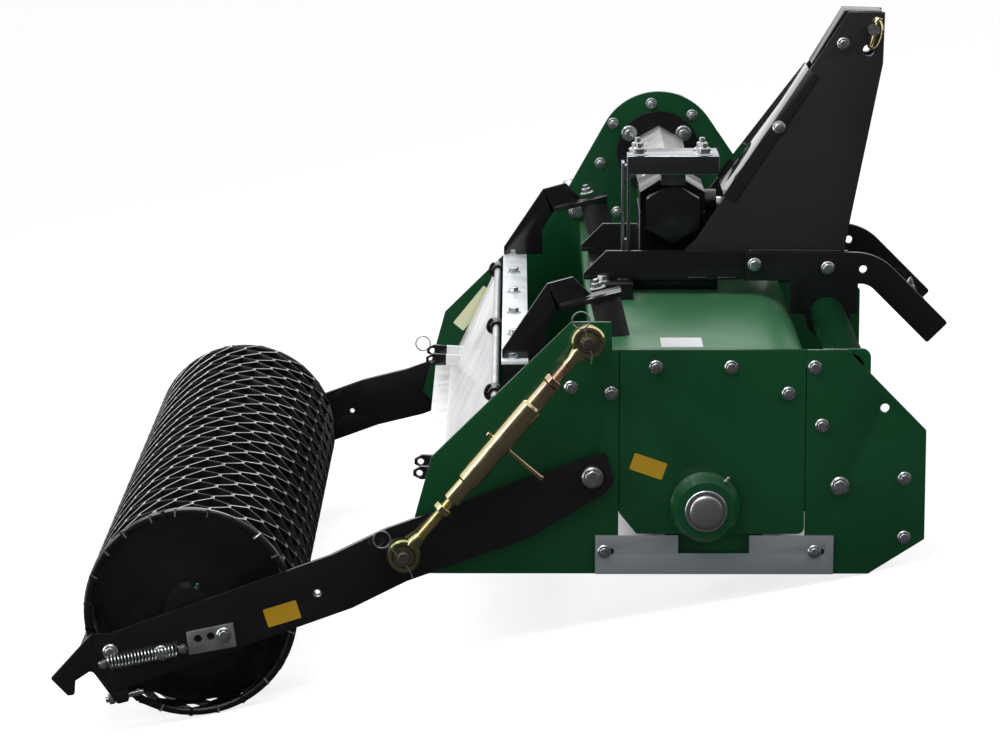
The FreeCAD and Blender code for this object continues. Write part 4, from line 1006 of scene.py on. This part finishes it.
body = coil(coil_r, SPRING_WIRE, (length - 2 * LEAD) / SPRING_TURNS, SPRING_TURNS, 6, 14)
body.rotation_euler = (0, 0, math.pi / 2)
body.location = (0, 0, LEAD)
loops, pegs = [], []
for base, way in ((LEAD, -1), (length - LEAD, 1)):
    points = [(0, coil_r, base), (0, coil_r * 0.5, base + way * 0.003)]
    for turn in map(math.radians, range(-60, 241, 30)):
        points.append((0, LOOP_R * -math.sin(turn), base + way * (LOOP_RISE - LOOP_R * math.cos(turn))))
    loops.append(wire(points, SPRING_WIRE, steps=3, sides=6))
    peg = turned(PEG_PROFILE, 16)
    peg.rotation_euler = (0, peg_turn, 0)
    peg.location = (0, 0, base + way * LOOP_RISE)
    pegs.append(peg)
model = join([body] + loops + pegs)
print("spring", len(model.data.polygons), "faces")

# %% Right and left spring
spring_y = (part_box("spring_plates")[1].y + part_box("scraper_springs")[1].y) / 2
springs = []
for side in SIDES:
    spring = copy_of(model, Matrix.Identity(4))
    if side > 0:
        spring.scale = (-1, 1, 1)
        faces_out(apply_place(spring))
    spring.matrix_world = at_level(spring_start.x, side * spring_y, spring_start.z, spring_pull)
    springs.append(spring)
bpy.data.objects.remove(model)
spring = settle(join(springs), "spring_coils", "roller_frame", smooth=50)
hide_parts("scraper_springs")
print("springs", len(spring.data.polygons), "faces")

# %% [markdown]
# ## Rear flap, hooks and labels
# The flap is a bright zinc sheet that hangs on a rod by three black painted hooks, and its foot carries
# two black clevises for the tie that would hold it up. Sheet and clevises are one node of the frame, so
# its copy is cut across the clevises by a plane and gets two finishes, chosen by where a face lies. The
# hooks are bent from bar.

# %% Flap in two finishes
LUG_YS = (0.423, 0.507)                     # middles of the clevis plates, on both sides
LUG_HALF = 0.0062
LUG_LOW, LUG_HIGH = 0.012, 0.042
LUG_TIP = 0.036                             # black part of a clevis, from its tip
BAR_R = 0.0115                              # hooks of the node, round the rod
flap = rounded("rear_flap", WHITE_SHEET, width=0.0006)
flap_low, flap_high = level_box("rear_flap")
lug_end = flap_low.x + LUG_TIP


def on_lug(face):
    """True on a clevis plate, whether black or white."""
    place = on_level(face.center)
    return any(abs(abs(place.y) - lug) < LUG_HALF for lug in LUG_YS) and LUG_LOW < place.z < LUG_HIGH


def on_black(face):
    """True on a clevis's tip and on what goes round the rod."""
    place = on_level(face.center)
    on_rod = math.hypot(place.x - HINGE[0], place.z - HINGE[1]) < BAR_R
    return on_rod or (on_lug(face) and place.x < lug_end)


choose(flap, on_lug)
bpy.ops.mesh.bisect(plane_co=LEVEL @ Vector((lug_end, 0, 0)), plane_no=LEVEL.to_3x3() @ Vector((1, 0, 0)))
object_mode()
two_finishes(flap, WHITE_SHEET, BLACK, on_black)
print("flap from", [round(v, 4) for v in flap_low], "to", [round(v, 4) for v in flap_high])
print("flap", sum(face.material_index for face in flap.data.polygons), "black faces")

# %% Hooks round the rod and ring of the tie
HOOK_BEND = ((-0.006, 0.011), (-0.0115, 0.006), (-0.0125, -0.007), (-0.004, -0.0125))     # from the rod
hook = wire([(HINGE[0] + x, 0, HINGE[1] + z) for x, z in HOOK_BEND], 0.0036)
hooks = copies(hook, [turned_level(0, y, 0) for y in (-0.560, 0.0, 0.560)])
settle(hooks, "flap_hooks", "rear_flap", BLACK, smooth=40)
ring = torus(0.013, 0.0013, turned_level(-0.459, 0.507, 0.039, X=90), 32)
settle(ring, "flap_ring", "rear_flap", smooth=50)
print("hooks", len(hooks.data.polygons), "faces")

# %% [markdown]
# Labels are printed vinyl: a thin sheet with round corners and a pressed margin, left blank here. The
# apron behind the notch of the closing plate is a flat painted sheet of the same build.

# %% Labels and apron
arm_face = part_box("roller_arms")[1].y
inner_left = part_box("side_plate_left")[0].y
hood_top = level_box("hood")[1].z


def label(name, finish, size, place, turn=0.0, towards=RIGHT, body="frame"):
    """Thin sheet with round corners and a pressed margin; its size is width and height."""
    piece = fresh(bpy.ops.mesh.primitive_plane_add, size=1)
    piece.scale = (*size, 1)
    edit_all(apply_place(piece))
    bpy.ops.mesh.bevel(offset=0.002, segments=3, affect="VERTICES")
    bpy.ops.mesh.extrude_region_move(TRANSFORM_OT_translate={"value": (0, 0, 0.0004)})
    bpy.ops.mesh.inset(thickness=0.0012)
    bpy.ops.transform.translate(value=(0, 0, -0.00012))
    object_mode()
    faces_out(piece)
    piece.matrix_world = at_level(*place, towards, math.radians(turn))
    settle(piece, name, body, finish, smooth=20)


label("panel_label", YELLOW_LABEL, (0.053, 0.027), (-0.088, -SIDE, 0.0626), -19.2)
label("arm_label", YELLOW_LABEL, (0.053, 0.029), (-0.649, -arm_face, -0.1545), 17.4, body="roller_frame")
label("hood_label", WHITE_LABEL, (0.064, 0.076), (-0.036, -0.560, hood_top), towards=UP)
label("plate_label", PALE_LABEL, (0.089, 0.024), (-0.369, inner_left, 0.084), 51)
print("labels on panel, arm, hood and left plate")

# %% [markdown]
# ## Bearing cap and grease nipples
# The rotor's bearing is closed by a pressed zinc cap, whose dome is a quarter of a flattened circle
# turned about its axis. A grease nipple stands on the bearing's housing, and one on each bearing of the
# roller, where the painter went over it.

# %% Bearing cap
DOME_R = 0.0255
DOME_FOOT = 0.0060
DOME_RISE = 0.0070
cap_rings = [(0.0325, 0), (0.0325, 0.0030), (0.0315, 0.0040), (0.0285, 0.0040), (0.0275, 0.0020),
             (0.0262, 0.0020), (DOME_R, DOME_FOOT)]
for turn in map(math.radians, range(10, 90, 10)):
    cap_rings.append((DOME_R * math.cos(turn), DOME_FOOT + DOME_RISE * math.sin(turn)))
cap = turned(cap_rings, 56)
cap.matrix_world = at_level(0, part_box("bearing_housing")[0].y + SINK, 0)
settle(cap, "pressed_cap", "frame", PRESSED_ZINC)
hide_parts("bearing_cap")
print("cap", len(cap.data.polygons), "faces")

# %% Grease nipples
HOUSING_R = 0.0515
HOUSING_NIPPLE_Y = -SIDE - 0.022
ARM_NIPPLES = (ROLLER[0] + 0.010, 0.668, ROLLER[1] + 0.036, (0.2, 0, 1))
NIPPLE_PROFILE = [(0.0034, 0), (0.0034, 0.005), (0.0024, 0.0056), (0.0022, 0.0068), (0.0031, 0.0076),
                  (0.0031, 0.0090), (0.0018, 0.0104)]


def nipple():
    """Grease nipple: hex foot, neck and ball end."""
    return join([hexagon(0.0045, 0.004, 0.002, 0.0004), turned(NIPPLE_PROFILE, 14)])


nipple_turn = math.radians(55)
nipple_aim = Vector((math.cos(nipple_turn), 0, math.sin(nipple_turn)))
housing_nipple = nipple()
housing_nipple.matrix_world = at_level(HOUSING_R * nipple_aim.x, HOUSING_NIPPLE_Y,
                                       HOUSING_R * nipple_aim.z, nipple_aim)
settle(housing_nipple, "bearing_nipple", "frame", smooth=40)
arm_nipples = copies(nipple(), pair(*ARM_NIPPLES))
settle(arm_nipples, "roller_nipples", "roller_frame", GREEN, smooth=40)
label("panel_apron", GREEN, (0.150, 0.046), (0.0135, -SIDE + 0.0065, -0.066))
print("nipples and apron")

# %% [markdown]
# ## Fittings of the arms
# The arms pivot on shouldered hex bolts, and a pressed bush stands in a hole of each. At an arm's tip
# two bolts hold the scraper's bracket, and a stop screw limits how far the spring pulls the blade. The
# spring's plate has two spare holes, so that its pull can be changed, and one bolt.

# %% Bolts and bushes of the arms
ARM_SHEET = 0.010
ARM_HOLE = (-0.5948, -0.1212)
BUSH_LIP = ARM_SHEET / 2 + SINK
PIVOT_HEAD_Y = 0.6492
bolts("arm_pivot_bolts", pair(ARM_PIVOT[0], PIVOT_HEAD_Y, ARM_PIVOT[1]), (0.022, 0.010, 0.0165))
bolts("arm_end_bolts", [(x, side * (arm_face - SINK), z, (0, side, 0)) for side in SIDES
                        for x, z in ((-0.913, -0.215), (-0.835, -0.217))],
      (0.015, 0.008, 0.012), "roller_frame")
bush = turned([(0.0093, -BUSH_LIP), (0.0093, BUSH_LIP), (0.0066, BUSH_LIP), (0.0048, BUSH_LIP - 0.0022)], 28)
pierce(bush, [rod(0.0042, 3 * ARM_SHEET, sides=28)])
two_finishes(bush, BLACK, PLATED, lambda face: BUSH_LIP - 0.0025 < face.center.z < BUSH_LIP - 0.0001)
bushes = copies(bush, pair(ARM_HOLE[0], arm_face - ARM_SHEET / 2, ARM_HOLE[1]))
settle(bushes, "arm_bushes", "roller_frame", BLACK)
print("bushes in two arms")

# %% Stop screws and spring plates
STOP_SCREWS = (-0.922, 0.682, -0.294, (0.97, 0, 0.24))
SPARE_HOLES = ((-0.778, -0.193), (-0.7585, -0.189))
stem = turned([(0.004, 0), (0.0045, 0.001), (0.0045, 0.058), (0.0038, 0.060)], 14)
stem.data.materials.append(PLATED)
lug = soften(block((0.020, 0.016, 0.017), (0, 0, 0.026)), 0.001, 2)
lug.data.materials.append(BLACK)
screw = join([stem, hexagon(0.0088, 0.008, 0.009, 0.0006), lug])
settle(copies(screw, pair(*STOP_SCREWS)), "stop_screws", "roller_frame")

holes = []
for side in SIDES:
    for x, z in SPARE_HOLES:
        hole = turned_level(x, side * (arm_face + 0.0095), z, X=90)
        holes.append(rod(0.0062, 0.03, hole.to_translation(), hole.to_euler(), 20))
pierce(bpy.data.objects["skin_spring_plates"], holes)
bolts("spring_plate_bolts", pair(-0.738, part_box("spring_plates")[1].y - SINK, -0.187), (0.015, 0.008, 0.012),
      "roller_frame")

# %% [markdown]
# ## Linkage pins
# The tractor's links are held by linch pins: a short pin with a flat head and a spring ring that snaps
# over the pin it locks. The ring hangs from the head and is thicker than a cotter's wire. The one in the
# top link pin is yellow zinc.

# %% Linch pins
LINCH_BAR = 0.0017


def linch_pin(ring_r, shaft_r, length):
    """Linch pin: shaft along Z with its head on top, ring in the YZ plane."""
    half = length / 2
    shaft = turned([(shaft_r * 0.7, -half), (shaft_r, -half + 0.002), (shaft_r, half - 0.006),
                    (shaft_r * 1.7, half - 0.005), (shaft_r * 1.7, half + 0.002),
                    (shaft_r * 1.3, half + 0.004)], 18)
    place = Matrix.Translation((0, 0, half - ring_r)) @ Matrix.Rotation(math.pi / 2, 4, "Y")
    return join([shaft, torus(ring_r, LINCH_BAR, place, 40)])


low_places = [turned_level(LOWER_PIN[0], side * 0.098, LOWER_PIN[1], X=180, Z=22) for side in SIDES]
lower_pins = copies(linch_pin(0.021, 0.0038, 0.040), low_places)
settle(lower_pins, "lower_linch_pins", "frame", smooth=40)
top_y = level_box("top_link_pin")[0].y + 0.007
top_pin = linch_pin(0.0245, 0.0042, 0.046)
top_pin.matrix_world = turned_level(TOP_PIN[0] + 0.002, top_y, TOP_PIN[1] - 0.006, Y=14, Z=22)
settle(top_pin, "top_linch_pin", "frame", YELLOW_ZINC, smooth=40)
print("linch pins", len(top_pin.data.polygons), "faces each")

# %% [markdown]
# ## Drive shaft, breather and welds
# The power take-off of a small tractor fits a shaft of 1 3/8 inch with six splines and a groove for the
# locking balls of the coupling. The drive case breathes through a small plug. Welds are laid by hand:
# a run of overlapping drops, modelled as one bar that swells and narrows at each drop.

# %% Splined shaft
SPLINE_CORE_R = 0.0146
SPLINE_TOP_R = 0.01746
SPLINE_WIDTH = 0.0084
SHAFT_LENGTH = 0.064
SHAFT_EDGE = 0.002
GROOVE = (0.034, 0.042)                     # where the coupling's locking balls sit
shaft_low, shaft_high = level_box("pto_shaft")
shaft_axis = (shaft_low + shaft_high) / 2
start_x = shaft_high.x - SHAFT_LENGTH
pieces = [turned([(0.0160, shaft_low.x - start_x), (0.0160, 0.0), (SPLINE_CORE_R, SHAFT_EDGE),
                  (SPLINE_CORE_R, SHAFT_LENGTH - SHAFT_EDGE), (SPLINE_CORE_R - 0.002, SHAFT_LENGTH)], 30)]
for number in range(6):
    for low, high in ((SHAFT_EDGE, GROOVE[0]), (GROOVE[1], SHAFT_LENGTH - SHAFT_EDGE)):
        spline = soften(block((SPLINE_TOP_R - 0.010, SPLINE_WIDTH, high - low),
                              ((SPLINE_TOP_R + 0.010) / 2, 0, (low + high) / 2)), 0.0008, 1)
        spline.rotation_euler = (0, 0, number * math.pi / 3)
        pieces.append(spline)
shaft = join(pieces)
shaft.matrix_world = at_level(start_x, shaft_axis.y, shaft_axis.z, (1, 0, 0))
settle(shaft, "splined_shaft", "pto_shaft", MACHINED)
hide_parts("pto_shaft")
print("shaft", len(shaft.data.polygons), "faces")

# %% Breather
CASE_TOP_R = 0.0876                         # gearbox axis to the top of the case's cover
BREATHER_Y = 0.662
BREATHER_PROFILE = [(0.006, 0.006), (0.006, 0.010), (0.0095, 0.011), (0.0095, 0.0155), (0.007, 0.0185),
                    (0.002, 0.0195)]
breather_aim = Vector((0.035, 0, 0.0808)).normalized()
breather = join([hexagon(0.0105, 0.007, 0.0035, 0.0006), turned(BREATHER_PROFILE, 20)])
breather.matrix_world = at_level(CASE[0] + CASE_TOP_R * breather_aim.x, BREATHER_Y,
                                 CASE[1] + CASE_TOP_R * breather_aim.z, breather_aim)
settle(breather, "breather", "frame", CAST)
print("breather", len(breather.data.polygons), "faces")

# %% Weld beads
BEAD_R = 0.0028
DROP = 0.0045                               # length of one drop


def weld(x, end_x, y, z, end_z):
    """Hand-laid bead along the machine, between two points of one upright plane."""
    start, run = Vector((x, y, z)), Vector((end_x - x, 0, end_z - z))
    drops = max(2, round(run.length / DROP))
    profile = [(BEAD_R * 0.5, 0)]
    for number in range(drops):
        profile += [(BEAD_R, (number + 0.5) * run.length / drops),
                    (BEAD_R * 0.82, (number + 1) * run.length / drops)]
    profile[-1] = (BEAD_R * 0.5, run.length)
    bead = turned(profile, 8)
    bead.matrix_world = at_level(*start, run)
    return bead


HITCH_Y = 0.1462
BEAM_WELDS = (-0.008, 0.040, 0.088)         # where short runs start
HITCH_WELDS = (-0.160, -0.125)
beam_top = level_box("headstock_beams")[1].z
beam_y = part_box("headstock_beams")[1].y + SINK
runs = []
for side in SIDES:
    runs += [weld(x, x + 0.030, side * beam_y, 0.273, 0.273) for x in BEAM_WELDS]
    runs += [weld(x, x + 0.020, side * HITCH_Y, 0.270, 0.270) for x in HITCH_WELDS]
    runs.append(weld(0.090, 0.240, side * HITCH_Y, beam_top, beam_top - 0.0005))
beads = settle(join(runs), "weld_beads", "frame", BLACK, smooth=50)
print("welds", len(beads.data.polygons), "faces")

# %% [markdown]
# ## Last steps
# The nodes that no new piece stands for stay as they are, and each gets the finish of its own slot.

# %% Finishes of the nodes that stay
SLOT_FINISH = {
    "green_paint": GREEN, "black_paint": BLACK, "galvanised_steel": GALVANISED, "yellow_zinc": YELLOW_ZINC,
    "black_rubber": RUBBER, "bright_steel": MACHINED, "cast_aluminium": CAST, "bare_steel": FORGED}
for name, node in nodes.items():
    node.data.materials.clear()
    node.data.materials.append(SLOT_FINISH[slot_of[name]])
nodes["roller_discs"].data.materials[0] = DISC_BLACK
print("painted", len(nodes), "nodes")
